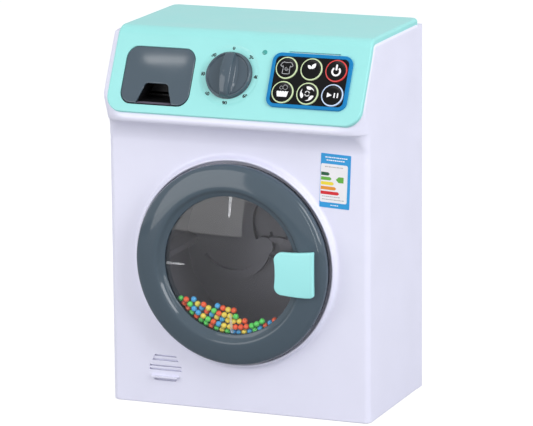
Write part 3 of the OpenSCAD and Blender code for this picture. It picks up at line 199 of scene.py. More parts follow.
brassFinish = finish("brassFinish", (206, 164, 92), rough=0.32, metal=1, grain=0.4, grainDepth=0.05)
gearNylon = finish("gearNylon", (236, 234, 226), rough=0.42)
boardGreen = finish("boardGreen", (40, 112, 74), rough=0.38, cloud=6, cloudAmount=0.08)
sleeveGreen = finish("sleeveGreen", (70, 150, 90), rough=0.3)
rubberGrey = finish("rubberGrey", (150, 150, 150), rough=0.7)
coneBlack = finish("coneBlack", (40, 38, 38), rough=0.8, grainDepth=0.2)
stickerBlue = finish("stickerBlue", (28, 152, 214), rough=0.4, cloud=8)
stickerPaper = finish("stickerPaper", (236, 234, 236), rough=0.45, cloud=8)
arrowInks = [finish(name, tint, rough=0.45) for name, tint in (
    ("arrowDeep", (14, 84, 52)), ("arrowGreen", (96, 172, 56)), ("arrowYellow", (236, 214, 50)),
    ("arrowOrange", (228, 144, 34)), ("arrowRed", (212, 22, 36)))]
print("finishes made:", len(bpy.data.materials))

# the CAD nodes that no piece replaces get a finish
nodeFinishes = [
    (whitePlastic, "rear_cover battery_door"), (slateDark, "drawer_housing door_back hinge_bracket"),
    (tubPlastic, "tub battery_box"), (drumPlastic, "drum"), (rubberGrey, "rubber_mat"),
    (gearNylon, "knob_ratchet detent_finger drum_gear idler_gear gearbox_plate"),
    (brassFinish, "drum_bush motor_pinion battery_contacts"), (boardGreen, "keypad_board main_board"),
    (paneClear, "bead_pane"), (sleeveGreen, "battery_cells"), (coneBlack, "speaker"),
    (steelFinish, "knob_screw keypad_screws case_screws panel_screws door_screws tub_screws"),
    (steelFinish, "gearbox_screws board_screws battery_screw hinge_pin latch_pin latch_spring"),
    (steelFinish, "drum_shaft idler_axle drive_motor"),
]


def dressNodes():
    for material, names in nodeFinishes:
        for name in names.split():
            node = nodes[name]
            if not node.material_slots:
                node.data.materials.append(material)
            for slot in node.material_slots:
                slot.material = material


dressNodes()
print("carried nodes dressed")


# meshes: a Shape collects points and faces, layer by layer
class Shape:
    def __init__(self):
        self.points, self.faces, self.tags = [], [], []

    def loop(self, points):
        first = len(self.points)
        self.points += [tuple(p) for p in points]
        return list(range(first, len(self.points)))

    def face(self, ids, tag=0):
        self.faces.append(tuple(ids))
        self.tags.append(tag)

    def bridge(self, a, b, closed=True, tag=0):
        for i in range(len(a) if closed else len(a) - 1):
            j = (i + 1) % len(a)
            self.face((a[i], a[j], b[j], b[i]), tag)

    def stack(self, rows, closed=True, ends=False):
        for a, b in zip(rows, rows[1:]):
            self.bridge(a, b, closed)
        if ends:
            self.face(rows[0])
            self.face(rows[-1])

    def block(self, low, high):
        # a closed solid between two outlines
        a, b = self.loop(low), self.loop(high)
        self.bridge(a, b)
        self.face(a[::-1])
        self.face(b)


def joinPoints(mesh, near, carved=False):
    # joins points nearer than this, and clears the slivers that a cut leaves
    work = bmesh.new()
    work.from_mesh(mesh)
    bmesh.ops.remove_doubles(work, verts=work.verts, dist=near * mm)
    if carved:
        bmesh.ops.dissolve_degenerate(work, edges=work.edges, dist=near / 2 * mm)
    else:
        bmesh.ops.recalc_face_normals(work, faces=work.faces)
    work.to_mesh(mesh)
    work.free()


def makePiece(name, shape, body, materials, replaces=(), smooth=32, keep=True):
    mesh = bpy.data.meshes.new(name)
    mesh.from_pydata([[v * mm for v in p] for p in shape.points], [], shape.faces)
    for polygon, tag in zip(mesh.polygons, shape.tags):
        polygon.material_index = tag
    for material in materials:
        mesh.materials.append(material)
    joinPoints(mesh, 0.002)
    piece = addObject(name, mesh)
    if smooth:
        shadeSmooth(mesh, smooth)
    if keep:
        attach(piece, body)
        if replaces:
            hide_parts(*replaces)
    return piece


def shadeSmooth(mesh, angle):
    mesh.shade_smooth()
    mesh.set_sharp_from_angle(angle=math.radians(angle))


def evenShading(piece):
    even = piece.modifiers.new("evenShading", "WEIGHTED_NORMAL")
    even.keep_sharp, even.weight = True, 80


def evaluated(piece):
    return bpy.data.meshes.new_from_object(piece.evaluated_get(bpy.context.evaluated_depsgraph_get()))


def bake(piece):
    mesh = evaluated(piece)
    piece.modifiers.clear()
    piece.data = mesh
    return mesh


def carve(piece, cutters, smooth):
    for cutter in cutters:
        cut = piece.modifiers.new("carve", "BOOLEAN")
        cut.operation, cut.solver, cut.object = "DIFFERENCE", "EXACT", cutter
    bpy.context.view_layer.update()
    mesh = bake(piece)
    for cutter in cutters:
        bpy.data.objects.remove(cutter)
    joinPoints(mesh, 0.02, carved=True)
    shadeSmooth(mesh, smooth)
    evenShading(piece)


def turns(start, end, steps):
    return [start + (end - start) * i / steps for i in range(steps + 1)]


def arc(cx, cy, r, start, end, steps):
    return [(cx + r * cos(a), cy + r * sin(a)) for a in turns(start, end, steps)]


def circleLoop(radius, cx=0, cy=0, steps=48):
    return arc(cx, cy, radius, 0, 360, steps)[:-1]


def turned(x, y, a):
    return x * cos(a) - y * sin(a), x * sin(a) + y * cos(a)


def mirrored(line):
    return line + [(-x, y) for x, y in reversed(line)]


def lathe(shape, profile, place, steps=96, closed=False, tag=0):
    # profile holds (radius, height) pairs; place(u, v, height) gives the point
    rings = []
    for radius, height in profile:
        ring = [(0, 0)] if radius < 0.001 else circleLoop(radius, steps=steps)
        rings.append(shape.loop([place(u, v, height) for u, v in ring]))
    pairs = list(zip(rings, rings[1:])) + ([(rings[-1], rings[0])] if closed else [])
    for a, b in pairs:
        if len(a) == 1:
            for i in range(steps):
                shape.face((a[0], b[i], b[(i + 1) % steps]), tag)
        elif len(b) == 1:
            for i in range(steps):
                shape.face((b[0], a[(i + 1) % steps], a[i]), tag)
        else:
            shape.bridge(a, b, True, tag)


def softLine(points, perSpan=5):
    # a smooth line through given points
    line = []
    for i in range(len(points) - 1):
        p0, p1 = points[max(0, i - 1)], points[i]
        p2, p3 = points[i + 1], points[min(len(points) - 1, i + 2)]
        for k in range(perSpan):
            t = k / perSpan
            line.append(tuple(0.5 * (2 * b + (c - a) * t + (2 * a - 5 * b + 4 * c - d) * t * t
                                     + (3 * b - a - 3 * c + d) * t ** 3)
                              for a, b, c, d in zip(p0, p1, p2, p3)))
    return line + [tuple(points[-1])]


def between(pairs, value):
    # eased reading of given (place, height) pairs
    if value <= pairs[0][0]:
        return pairs[0][1]
    for (a, p), (b, q) in zip(pairs, pairs[1:]):
        if value <= b:
            t = (value - a) / (b - a)
            return p + (q - p) * t * t * (3 - 2 * t)
    return pairs[-1][1]


def roundedBox(w, h, radii, cx=0, cy=0, steps=8, sides=()):
    # closed outline, anticlockwise from the lower left corner; radii from there on; sides adds points
    r = radii if isinstance(radii, (list, tuple)) else [radii] * 4
    corners = [(-1, -1, 180), (1, -1, 270), (1, 1, 0), (-1, 1, 90)]
    outline = []
    for k, (sx, sy, start) in enumerate(corners):
        ox, oy = cx + sx * (w / 2 - r[k]), cy + sy * (h / 2 - r[k])
        outline += arc(ox, oy, r[k], start, start + 90, steps)
        if k == 1:
            outline += [(cx + w / 2, v) for v in sides]
        if k == 3:
            outline += [(cx - w / 2, v) for v in reversed(sides)]
    return outline


def inset(loop, distance):
    # moves an anticlockwise outline inwards, or outwards with a negative distance
    moved = []
    for i, p in enumerate(loop):
        a, b = loop[i - 1], loop[(i + 1) % len(loop)]
        d1 = Vector((p[0] - a[0], p[1] - a[1])).normalized()
        d2 = Vector((b[0] - p[0], b[1] - p[1])).normalized()
        n1, n2 = Vector((-d1.y, d1.x)), Vector((-d2.y, d2.x))
        m = (n1 + n2) / max(0.3, 1 + n1.dot(n2))
        moved.append((p[0] + m.x * distance, p[1] + m.y * distance))
    return moved


def inside(point, loop):
    x, y = point
    found = False
    for i in range(len(loop)):
        (x1, y1), (x2, y2) = loop[i - 1], loop[i]
        if (y1 > y) != (y2 > y) and x < (x2 - x1) * (y - y1) / (y2 - y1) + x1:
            found = not found
    return found


def fillFlat(shape, outer, holes, extra, place):
    # fills the space between an outline and its holes with triangles
    points, edges = [], []
    for lines, closed in (([outer] + holes, True), (extra, False)):
        for line in lines:
            first, count = len(points), len(line)
            points += line
            edges += [(first + i, first + (i + 1) % count) for i in range(count if closed else count - 1)]
    made = delaunay_2d_cdt([Vector(p) for p in points], edges, [], 0, 0.00001)
    flat = [tuple(v) for v in made[0]]
    ids = shape.loop([place(*p) for p in flat])
    for triangle in made[2]:
        middle = [sum(flat[k][c] for k in triangle) / 3 for c in (0, 1)]
        if inside(middle, outer) and not any(inside(middle, hole) for hole in holes):
            shape.face([ids[k] for k in triangle])


def edgeSteps(radius, steps=4):
    # (inset, drop) pairs from an upright side over a rounded edge to the flat top
    return [(radius * (1 - cos(a)), -radius * (1 - sin(a))) for a in turns(0, 90, steps)]


def holeWall(shape, loop, radius, depth, place, top=0, steps=3):
    # the wall of a hole, up over a rounded edge; gives the rim for fillFlat
    rows = [shape.loop([place(u, v, depth) for u, v in loop])]
    rim = loop
    for gap, drop in edgeSteps(radius, steps):
        rim = inset(loop, -gap)
        rows.append(shape.loop([place(u, v, top + drop) for u, v in rim]))
    shape.stack(rows)
    return rim


def plate(shape, outline, place, top, bottom, edge, holes=(), extra=(), steps=4, back=False):
    # a flat plate with rounded edges; a hole is (loop, edge radius, depth)
    loops = [shape.loop([place(u, v, bottom) for u, v in outline])]
    rim = outline
    for gap, drop in edgeSteps(edge, steps):
        rim = inset(outline, gap)
        loops.append(shape.loop([place(u, v, top + drop) for u, v in rim]))
    shape.stack(loops)
    holeRims = [holeWall(shape, loop, radius, depth, place, top, steps) for loop, radius, depth in holes]
    fillFlat(shape, rim, holeRims, extra, lambda u, v: place(u, v, top))
    if back:
        shape.face(loops[0][::-1])


# the case: plan sections are stacked from the foot over the cove and the nose to the top
case = {
    "half": 100, "front": -47, "seam": 56, "height": 272.6, "wall": 2.4, "edge": 4.5, "foot": 0.8,
    "topEdge": 2.5, "slopeLean": 28, "slopeHeight": 239, "slopeOut": 6.1, "noseLength": 25,
    "noseRadius": 4, "coveRadius": 16, "foldRadius": 4.5,
    "roundLow": 195, "roundHigh": 230, "roundMore": 5,   # rounds the nose's ends between two heights
    "slopeRows": (-23.8, -22.4, -20.8, -19, -17, -14.5, -11, 0, 15), "sideRow": 26, "frontRow": 76,
}


def slopePoint(s, h):
    # s runs up the slope, h stands off it; gives the depth and the height
    lean = case["slopeLean"]
    return (-case["slopeOut"] + s * sin(lean) - h * cos(lean),
            case["slopeHeight"] + s * cos(lean) + h * sin(lean))


def onSlope(x, s, h):
    depth, z = slopePoint(s, h)
    return (x, case["front"] + depth, z)


def upSlope(z, h):
    # how far up the slope a point h above it reaches the height z
    return (z - case["slopeHeight"] - h * sin(case["slopeLean"])) / cos(case["slopeLean"])


def foldMiddle(radius, h, z):
    s = upSlope(z - radius, h - radius)
    return slopePoint(s, h - radius), s


def caseLevels():
    # (height, depth of the front, how far the sides draw in), from the foot to the top
    lean = 180 - case["slopeLean"]
    foot, noseRadius, coveRadius = case["foot"], case["noseRadius"], case["coveRadius"]
    foldRadius, topEdge = case["foldRadius"], case["topEdge"]
    nose = slopePoint(-case["noseLength"], -noseRadius)
    coveHeight = nose[1] - math.sqrt((coveRadius + noseRadius) ** 2 - (nose[0] + coveRadius) ** 2)
    coveEnd = math.degrees(math.atan2(nose[1] - coveHeight, nose[0] + coveRadius))
    fold = foldMiddle(foldRadius, 0, case["height"])[0]
    levels = [(foot * (1 - cos(a)), foot * (1 - sin(a)), foot * (1 - sin(a))) for a in turns(0, 90, 4)]
    front = arc(-coveRadius, coveHeight, coveRadius, 0, coveEnd, 18)
    front += arc(*nose, noseRadius, coveEnd + 180, lean, 14)
    front += [slopePoint(s, 0) for s in case["slopeRows"]]
    levels += [(z, y, 0) for y, z in front]
    for y, z in arc(*fold, foldRadius, lean, 90, 12):
        over = max(0, z - case["height"] + topEdge)
        levels.append((z, y, topEdge - math.sqrt(max(0, topEdge ** 2 - over ** 2))))
    return levels


def cornerRadius(z, depth):
    # at the nose's ends the corners run back to one soft line on each side
    low, high, edge = case["roundLow"], case["roundHigh"], case["edge"]
    share = (z - low) / (high - low)
    if share <= 0 or share >= 1:
        return edge
    top = slopePoint(upSlope(high, 0), 0)[0]
    return max(edge, edge + top * share + case["roundMore"] * sin(180 * share) ** 2 - depth)


def caseSection(z, depth, side):
    # one plan section, from the seam round the front and back to the seam
    half, y, r = case["half"] - side, case["front"] + depth, cornerRadius(z, depth)
    right = [(case["frontRow"], y)] + arc(half - r, y + r, r, 270, 360, 10)
    right += [(half, y + case["sideRow"]), (half, case["seam"])]
    return [(-x, y, z) for x, y in reversed(right)] + [(x, y, z) for x, y in right]


door = {"x": -1.5, "z": 110.9}


def onDoor(u, v, f):
    return (door["x"] + u, case["front"] - f, door["z"] + v)


def prism(outline, place, low, high):
    shape = Shape()
    shape.block([place(u, v, low) for u, v in outline], [place(u, v, high) for u, v in outline])
    return makePiece("cutter", shape, None, [], smooth=0, keep=False)


caseHoles = {"porthole": 60, "drawer": (58.1, 43, 6), "knob": 12, "keypad": (57.4, 39.3, 4)}
vents = {   # a shallow recess each, with a deep groove below and above its bar
    "recess": 0.5, "groove": 0.3, "depth": 2.3, "slots": [
        [(-68.4, 32.5), (-47.6, 32.5), (-49.6, 37), (-66.2, 37)],
        [(-70.5, 25.3), (-45.5, 25.3), (-45.5, 29.3), (-70.5, 29.3)],
        [(-66.6, 17.7), (-49.9, 17.7), (-47.4, 21.5), (-68.6, 21.5)],
    ],
}
drawer = {
    "x": -58.2, "z": 244.1, "width": 52.8, "height": 37.7, "corner": 8.15, "edge": 1.1, "top": 2,
    "thick": 3, "cupBack": -37.2, "notchTop": 238.8, "notchTopHalf": 9, "notchLowHalf": 13.6,
    "trayHalf": 22, "trayLow": 228.1, "trayHigh": 252.1, "trayBack": -7, "wall": 1.6,
    "floorLow": 0.3, "floorRise": [(0.2, 0.3), (0.45, 0.9), (0.75, 1.2), (1, 1.4)],
}
knob = {"at": (-3.9, 8.5), "radius": 16.9, "base": 2.3}
keypad = {
    "at": (57.6, 7.4), "width": 60.4, "height": 40.3, "corner": 6.5, "border": 2.6,
    "frameTop": 3.7, "faceTop": 3.0, "buttonTop": 3.6, "button": 8.2, "hole": 8.45, "ring": 7.3,
    "dx": 18.7, "dy": 18,
}


def onFace(x, z, f):
    return (x, case["front"] - f, z)


def slopeFrom(x, s, base=0):
    # placing function for a round piece on the slope
    return lambda u, v, h: onSlope(x + u, s + v, base + h)


def slotStrip(slot, low, high):
    a, b, c, d = (Vector(point) for point in slot)
    return [tuple(start.lerp(end, share)) for start, end, share in
            ((a, d, low), (b, c, low), (b, c, high), (a, d, high))]


def buildCase():
    shape = Shape()
    rows = [shape.loop(caseSection(*level)) for level in caseLevels()]
    shape.stack(rows, False, ends=True)
    shell = makePiece("caseShell", shape, "case", [whitePlastic], ["front_shell"])
    wall = shell.modifiers.new("wall", "SOLIDIFY")
    wall.thickness, wall.offset, wall.use_even_offset = case["wall"] * mm, -1, True
    bake(shell)
    cutters = [
        prism(circleLoop(caseHoles["porthole"], steps=96), onDoor, -8, 8),
        prism(roundedBox(*caseHoles["drawer"], drawer["x"], drawer["z"]), onFace, -27, 30),
        prism(circleLoop(caseHoles["knob"], *knob["at"]), onSlope, -9, 9),
        prism(roundedBox(*caseHoles["keypad"], *keypad["at"]), onSlope, -9, 9),
    ]
    for slot in vents["slots"]:
        cutters.append(prism(slot, onFace, -vents["recess"], 3))
        for low, high in ((0, vents["groove"]), (1 - vents["groove"], 1)):
            cutters.append(prism(slotStrip(slot, low, high), onFace, -vents["depth"], 3))
    carve(shell, cutters, 32)


collarProfile = [(80.4, -0.15), (79.6, 0.02), (78.6, 0.3), (77.7, 1.1), (77.1, 2.4), (76.8, 3.7),
                 (76.3, 4.7), (75.6, 5.0), (74.95, 4.7), (74.6, 4), (74.5, 2.6), (74.5, -0.6)]


def buildCollar():
    shape = Shape()
    lathe(shape, softLine(collarProfile, 4), onDoor, 160)
    makePiece("doorCollar", shape, "case", [whitePlastic])


buildCase()
buildCollar()
print("case built")

# the mint panel: a flat layout that is bent over the fold
panel = {
    "x": 2.3, "width": 194.2, "lift": 2, "topHeight": 276.4, "fold": 11, "low": -23.3, "backDepth": 110,
    "corners": (12.5, 12.5, 6, 6), "edge": 1.1, "topEdge": 2.4, "skirt": 3.6, "skirtMore": 1.4,
    "taper": 0.6, "slitAt": (57.8, 28.6), "slit": (39, 1.0), "drawerHole": (53.5, 38.4, 8.5),
    "keypadHole": (57, 37, 4),
    "dish": 23.2, "dishEdge": 2.4, "dishDepth": 0.4, "dishMiddle": 5,
}
lens = {"at": (20, 27.2), "hole": 1.8}


def panelLengths():
    middle, start = foldMiddle(panel["fold"], panel["lift"], panel["topHeight"])
    slopeLength = start - panel["low"]
    foldLength = panel["fold"] * math.radians(90 - case["slopeLean"])
    return middle, slopeLength, slopeLength + foldLength, \
        slopeLength + foldLength + panel["backDepth"] - middle[0]


panelMiddle, panelSlope, panelFold, panelLength = panelLengths()


def onPanel(x, u, h):
    # u runs up the slope from the lower edge, over the fold and along the top
    if u <= panelSlope:
        return onSlope(x, panel["low"] + u, panel["lift"] + h)
    if u <= panelFold:
        a = 180 - case["slopeLean"] - math.degrees((u - panelSlope) / panel["fold"])
        r = panel["fold"] + h
        return (x, case["front"] + panelMiddle[0] + r * cos(a), panelMiddle[1] + r * sin(a))
    return (x, case["front"] + panelMiddle[0] + u - panelFold, panel["topHeight"] + h)


def onLayout(x, s):
    # from a place on the slope to one in the flat layout
    return x, s - panel["low"]


def buildDish(shape, place):
    # the shallow dish round the knob
    middle = onLayout(*knob["at"])
    rows = []
    for t in turns(0, 1, 8):
        drop = -panel["dishDepth"] * t * t * (3 - 2 * t)
        rim = circleLoop(panel["dish"] - panel["dishEdge"] * t, *middle, 72)
        rows.append(shape.loop([place(u, v, drop) for u, v in rim]))
    inner = circleLoop(panel["dishMiddle"], *middle, 72)
    rows.append(shape.loop([place(u, v, -panel["dishDepth"]) for u, v in inner]))
    shape.stack(rows)
    return circleLoop(panel["dish"], *middle, 72)


def buildPanel():
    shape = Shape()
    folds = turns(panelSlope, panelFold, 12)
    sides = [panelSlope * 0.35, panelSlope * 0.7] + folds + [panelFold + 30, panelFold + 60]
    outline = roundedBox(panel["width"], panelLength, panel["corners"], panel["x"], panelLength / 2,
                         sides=sides)

    def share(u):   # grows from 0 on the slope to 1 on the top
        return min(1, max(0, (u - panelSlope + 6) / (panelFold - panelSlope + 10)))

    def place(x, u, h):
        return onPanel(x - max(0, x) / 97 * panel["taper"] * share(u), u, h)

    loops = [shape.loop([place(x, u, -panel["skirt"] - panel["skirtMore"] * share(u)) for x, u in outline])]
    rim = outline
    for a in turns(0, 90, 5):
        moved = []
        for (x, u), (xi, ui) in zip(outline, inset(outline, 1)):
            r = panel["edge"] + (panel["topEdge"] - panel["edge"]) * share(u)
            gap = r * (1 - cos(a))
            moved.append((x + (xi - x) * gap, u + (ui - u) * gap, -r * (1 - sin(a))))
        loops.append(shape.loop([place(*p) for p in moved]))
        rim = [(x, u) for x, u, h in moved]
    shape.stack(loops)
    drawerLoop = [onLayout(x, upSlope(z, panel["lift"]))
                  for x, z in roundedBox(*panel["drawerHole"], drawer["x"], drawer["z"])]
    keypadLoop = roundedBox(*panel["keypadHole"], *onLayout(*keypad["at"]))
    slitLoop = roundedBox(*panel["slit"], 0.3, *onLayout(*panel["slitAt"]), 3)
    lensLoop = circleLoop(lens["hole"], *onLayout(*lens["at"]), 20)
    holeRims = [holeWall(shape, drawerLoop, 0.5, -2.2, place), buildDish(shape, place)]
    holeRims += [holeWall(shape, loop, radius, depth, place) for loop, radius, depth in
                 ((keypadLoop, 0.2, -2), (slitLoop, 0.08, -2), (lensLoop, 0.15, -1))]
    lines = [[(x, u) for x in range(-90, 91, 15)] for u in folds]
    fillFlat(shape, rim, holeRims, lines, lambda x, u: place(x, u, 0))
    cover = makePiece("panelMoulding", shape, "case", [mintPlastic], ["control_panel"])
    evenShading(cover)


buildPanel()


def buildLens():
    shape = Shape()
    lathe(shape, [(1.75, 0.6), (1.75, 2.0), (1.6, 2.25), (1.1, 2.45), (0.5, 2.52), (0, 2.54)],
          slopeFrom(*lens["at"]), 24)
    makePiece("indicatorDome", shape, "case", [lensTeal], ["indicator_lens"])


buildLens()
print("panel built")

# plain numbers round the knob
dial = {"radius": 20.5, "size": 3.6, "bold": 0.16, "proud": 0.07,
        "marks": ["0", "30", "40", "60", "90", "60", "40", "30"]}   # clockwise from the top


def flatText(text, size):
    curve = bpy.data.curves.new("dialText", "FONT")
    curve.body, curve.size = text, size
    curve.align_x, curve.align_y = "CENTER", "CENTER"
    curve.resolution_u, curve.offset = 3, dial["bold"]
    holder = addObject("dialText", curve)
    bpy.context.view_layer.update()
    mesh = evaluated(holder)
    points = [tuple(v.co) for v in mesh.vertices]
    faces = [tuple(p.vertices) for p in mesh.polygons]
    bpy.data.objects.remove(holder)
    bpy.data.meshes.remove(mesh)
    return points, faces


def buildDial():
    shape = Shape()
    high = panel["lift"] - panel["dishDepth"] + dial["proud"]
    for k, text in enumerate(dial["marks"]):
        points, faces = flatText(text, dial["size"])
        u, v = turned(dial["radius"], 0, 90 - 360 * k / len(dial["marks"]))
        place = slopeFrom(knob["at"][0] + u, knob["at"][1] + v, high)
        ids = shape.loop([place(*p) for p in points])
        for face in faces:
            shape.face([ids[k] for k in face])
    makePiece("dialNumbers", shape, "case", [inkDark], smooth=0)


buildDial()


# the drawer: face with a finger notch, the cup behind it and the tray
def drawerPoint(x, z, h):
    return onSlope(x, upSlope(z, h), h)


def notchLine():
    # from the lower left up over the notch and down to the lower right
    x, low = drawer["x"], drawer["z"] - drawer["height"] / 2
    top, a, b = drawer["notchTop"], drawer["notchTopHalf"], drawer["notchLowHalf"]
    left = [(-b, low), (-b + 0.5, low + 1.6), (-a - 0.9, top - 4.2), (-a - 0.3, top - 2),
            (-a + 0.6, top - 0.7), (-a + 2.2, top)]
    return [(x + u, v) for u, v in mirrored(softLine(left, 4))]


def buildDrawer():
    shape = Shape()
    outline = roundedBox(drawer["width"], drawer["height"], drawer["corner"], drawer["x"], drawer["z"])
    corner = 9   # points in each rounded corner
    notched = outline[:corner] + notchLine() + outline[corner:]
    plate(shape, notched, drawerPoint, drawer["top"], drawer["top"] - drawer["thick"], drawer["edge"],
          back=True)
    # the cup's walls, back and rear floor strips are painted near-black as painted shade
    cup = notchLine()
    mouth = shape.loop([drawerPoint(x, z, drawer["top"] - 0.9) for x, z in cup])
    deep = shape.loop([(x, drawer["cupBack"], z) for x, z in cup])
    shape.bridge(mouth, deep, False, 1)
    shape.face(deep, 1)
    low = drawer["z"] - drawer["height"] / 2 + drawer["floorLow"]
    half, x, lip = drawer["notchLowHalf"], drawer["x"], drawer["top"] - 0.1
    floor = [shape.loop([drawerPoint(x - half, low, lip), drawerPoint(x + half, low, lip)])]
    front = drawerPoint(x, low, lip)[1]
    for t, rise in drawer["floorRise"]:
        y = front + (drawer["cupBack"] - front) * t
        floor.append(shape.loop([(x - half, y, low + rise), (x + half, y, low + rise)]))
    # the front floor strip gets the painted light, the strips behind it the painted shade
    for k, (a, b) in enumerate(zip(floor, floor[1:])):
        shape.bridge(a, b, False, 2 if k == 0 else 1)
    evenShading(makePiece("drawerFace", shape, "drawer", [slatePlastic, cupPaintedShade, cupPaintedLight],
                          ["detergent_drawer"]))
    tray = Shape()
    half, wall = drawer["trayHalf"], drawer["wall"]
    lowZ, highZ, backY = drawer["trayLow"], drawer["trayHigh"], drawer["trayBack"]

    def slab(x0, x1, side):
        tray.block([(x0, y, z) for y, z in side], [(x1, y, z) for y, z in side])

    def frontAt(z):
        return drawerPoint(0, z, drawer["top"] - drawer["thick"])[1]

    cheek = [(frontAt(lowZ), lowZ), (backY, lowZ), (backY, highZ), (frontAt(highZ), highZ)]
    slab(x - half, x - half + wall, cheek)
    slab(x + half - wall, x + half, cheek)
    slab(x - half, x + half, [(backY - wall, lowZ), (backY, lowZ), (backY, highZ), (backY - wall, highZ)])
    gap, cupBack = drawer["notchLowHalf"] + 1, drawer["cupBack"]
    for x0, x1, front in ((-half, -gap, frontAt(lowZ)), (gap, half, frontAt(lowZ)), (-gap, gap, cupBack)):
        slab(x + x0, x + x1, [(front, lowZ), (backY, lowZ), (backY, lowZ + wall), (front, lowZ + wall)])
    makePiece("drawerTray", tray, "drawer", [slatePlastic], smooth=0)


buildDrawer()
print("drawer built")

# the programme knob: dished disc with a crowned grip
grip = {"length": 16.4, "half": 4.25, "endHalf": 3.1, "height": 8.8, "endHeight": 5.0, "flank": 3.2,
        "dipFrom": 0.93, "dip": 2.0, "rows": 24}


def buildKnob():
    shape, place, r = Shape(), slopeFrom(*knob["at"], knob["base"]), knob["radius"]
    lathe(shape, softLine([(3.4, -0.5), (r - 0.5, -0.5), (r - 0.1, -0.1), (r, 0.6), (r, 2.1),
                           (r - 0.25, 2.7), (r - 0.8, 3.0), (r - 1.4, 2.85), (r - 1.9, 2.3),
                           (r - 2.6, 2.05), (r - 6, 2.0), (5, 2.0), (0, 2.0)], 3), place, 96)
    rows = []
    for t in turns(-1, 1, grip["rows"]):
        v = grip["length"] * t
        half = grip["endHalf"] + (grip["half"] - grip["endHalf"]) * (1 - t * t)
        top = grip["endHeight"] + (grip["height"] - grip["endHeight"]) * (1 - t * t)
        past = max(0, abs(t) - grip["dipFrom"]) / (1 - grip["dipFrom"])   # the ends dip
        top -= grip["dip"] * past * past
        flank = grip["flank"] * max(0, 1 - t * t) ** 0.6
        section = [(-half - 0.35, 1.6), (-half - 0.1, 3), (-half + 0.15, top - 0.9),
                   (-half + 0.4, top - 0.35), (-half + 0.95, top - 0.05), (0, top + 0.1),
                   (half - 0.9, top - 0.1), (half - 0.3, top - 0.45), (half, top - 1.1),
                   (half + 0.12 * flank, top * 0.62), (half + 0.3 * flank, top * 0.5),
                   (half + 0.42 * flank, top * 0.49), (half + 0.55 * flank, top * 0.42),
                   (half + 0.8 * flank + 0.1, 2.6), (half + flank + 0.2, 1.6)]
        rows.append(shape.loop([place(u, v, h) for u, h in section]))
    shape.stack(rows, False, ends=True)
    makePiece("knobTurned", shape, "knob", [slatePlastic], ["programme_knob"], smooth=48)


buildKnob()
print("knob built")

# the keypad: blue frame, black face, six buttons with plain icons
buttonRings = [ringCream, ringCream, ringRed, ringCream, ringCream, ringSky]


def buttonMiddle(i):
    x, s = keypad["at"]
    return (x + (i % 3 - 1) * keypad["dx"], s + (0.5 - i // 3) * keypad["dy"])


def buildKeypad():
    width, height, corner, border = (keypad[k] for k in ("width", "height", "corner", "border"))
    outer = roundedBox(width, height, corner, *keypad["at"])
    inner = roundedBox(width - 2 * border, height - 2 * border, corner - border, *keypad["at"])
    shape = Shape()
    plate(shape, outer, onSlope, keypad["frameTop"], 1.9, 0.55, [(inner, 0.4, keypad["faceTop"] - 0.2)])
    evenShading(makePiece("keypadBorder", shape, "case", [bluePaint], ["keypad_frame"]))
    shape = Shape()
    holes = [(circleLoop(keypad["hole"], *buttonMiddle(i)), 0.12, 2.2) for i in range(6)]
    plate(shape, inset(inner, -0.3), onSlope, keypad["faceTop"], 2.0, 0.1, holes)
    evenShading(makePiece("keypadGloss", shape, "case", [faceBlack], ["keypad_face"]))


def strokes(line, width, closed=False):
    # a drawn line as a row of four-sided outlines
    made = []
    for start, end in zip(line, line[1:] + (line[:1] if closed else [])):
        a, b = Vector(start), Vector(end)
        d = (b - a).normalized()
        n = Vector((-d.y, d.x)) * width / 2
        a, b = a - d * width * 0.3, b + d * width * 0.3
        made.append([tuple(a - n), tuple(b - n), tuple(b + n), tuple(a + n)])
    return made


def blade(turn):
    # one crescent of the spin icon
    outer = [(5.3 * cos(a), 5.3 * sin(a)) for a in range(20, 106, 8)]
    inner = softLine([(5.3 * cos(106), 5.3 * sin(106)), (-0.4, 3.3), (1.6, 2.9), (3.0, 3.3),
                      (5.3 * cos(20), 5.3 * sin(20))], 5)
    return [turned(x, y, turn) for x, y in outer + inner[1:-1]]


def leaf(lean, dx, dy, size):
    half = softLine([(0, 0), (0.9, 0.9), (1.2, 2.1), (0.7, 3.3), (0, 4.2)], 4)
    full = half + [(-x, y) for x, y in reversed(half[1:-1])]
    return [(dx + size * x, dy + size * y) for x, y in (turned(*p, lean) for p in full)]


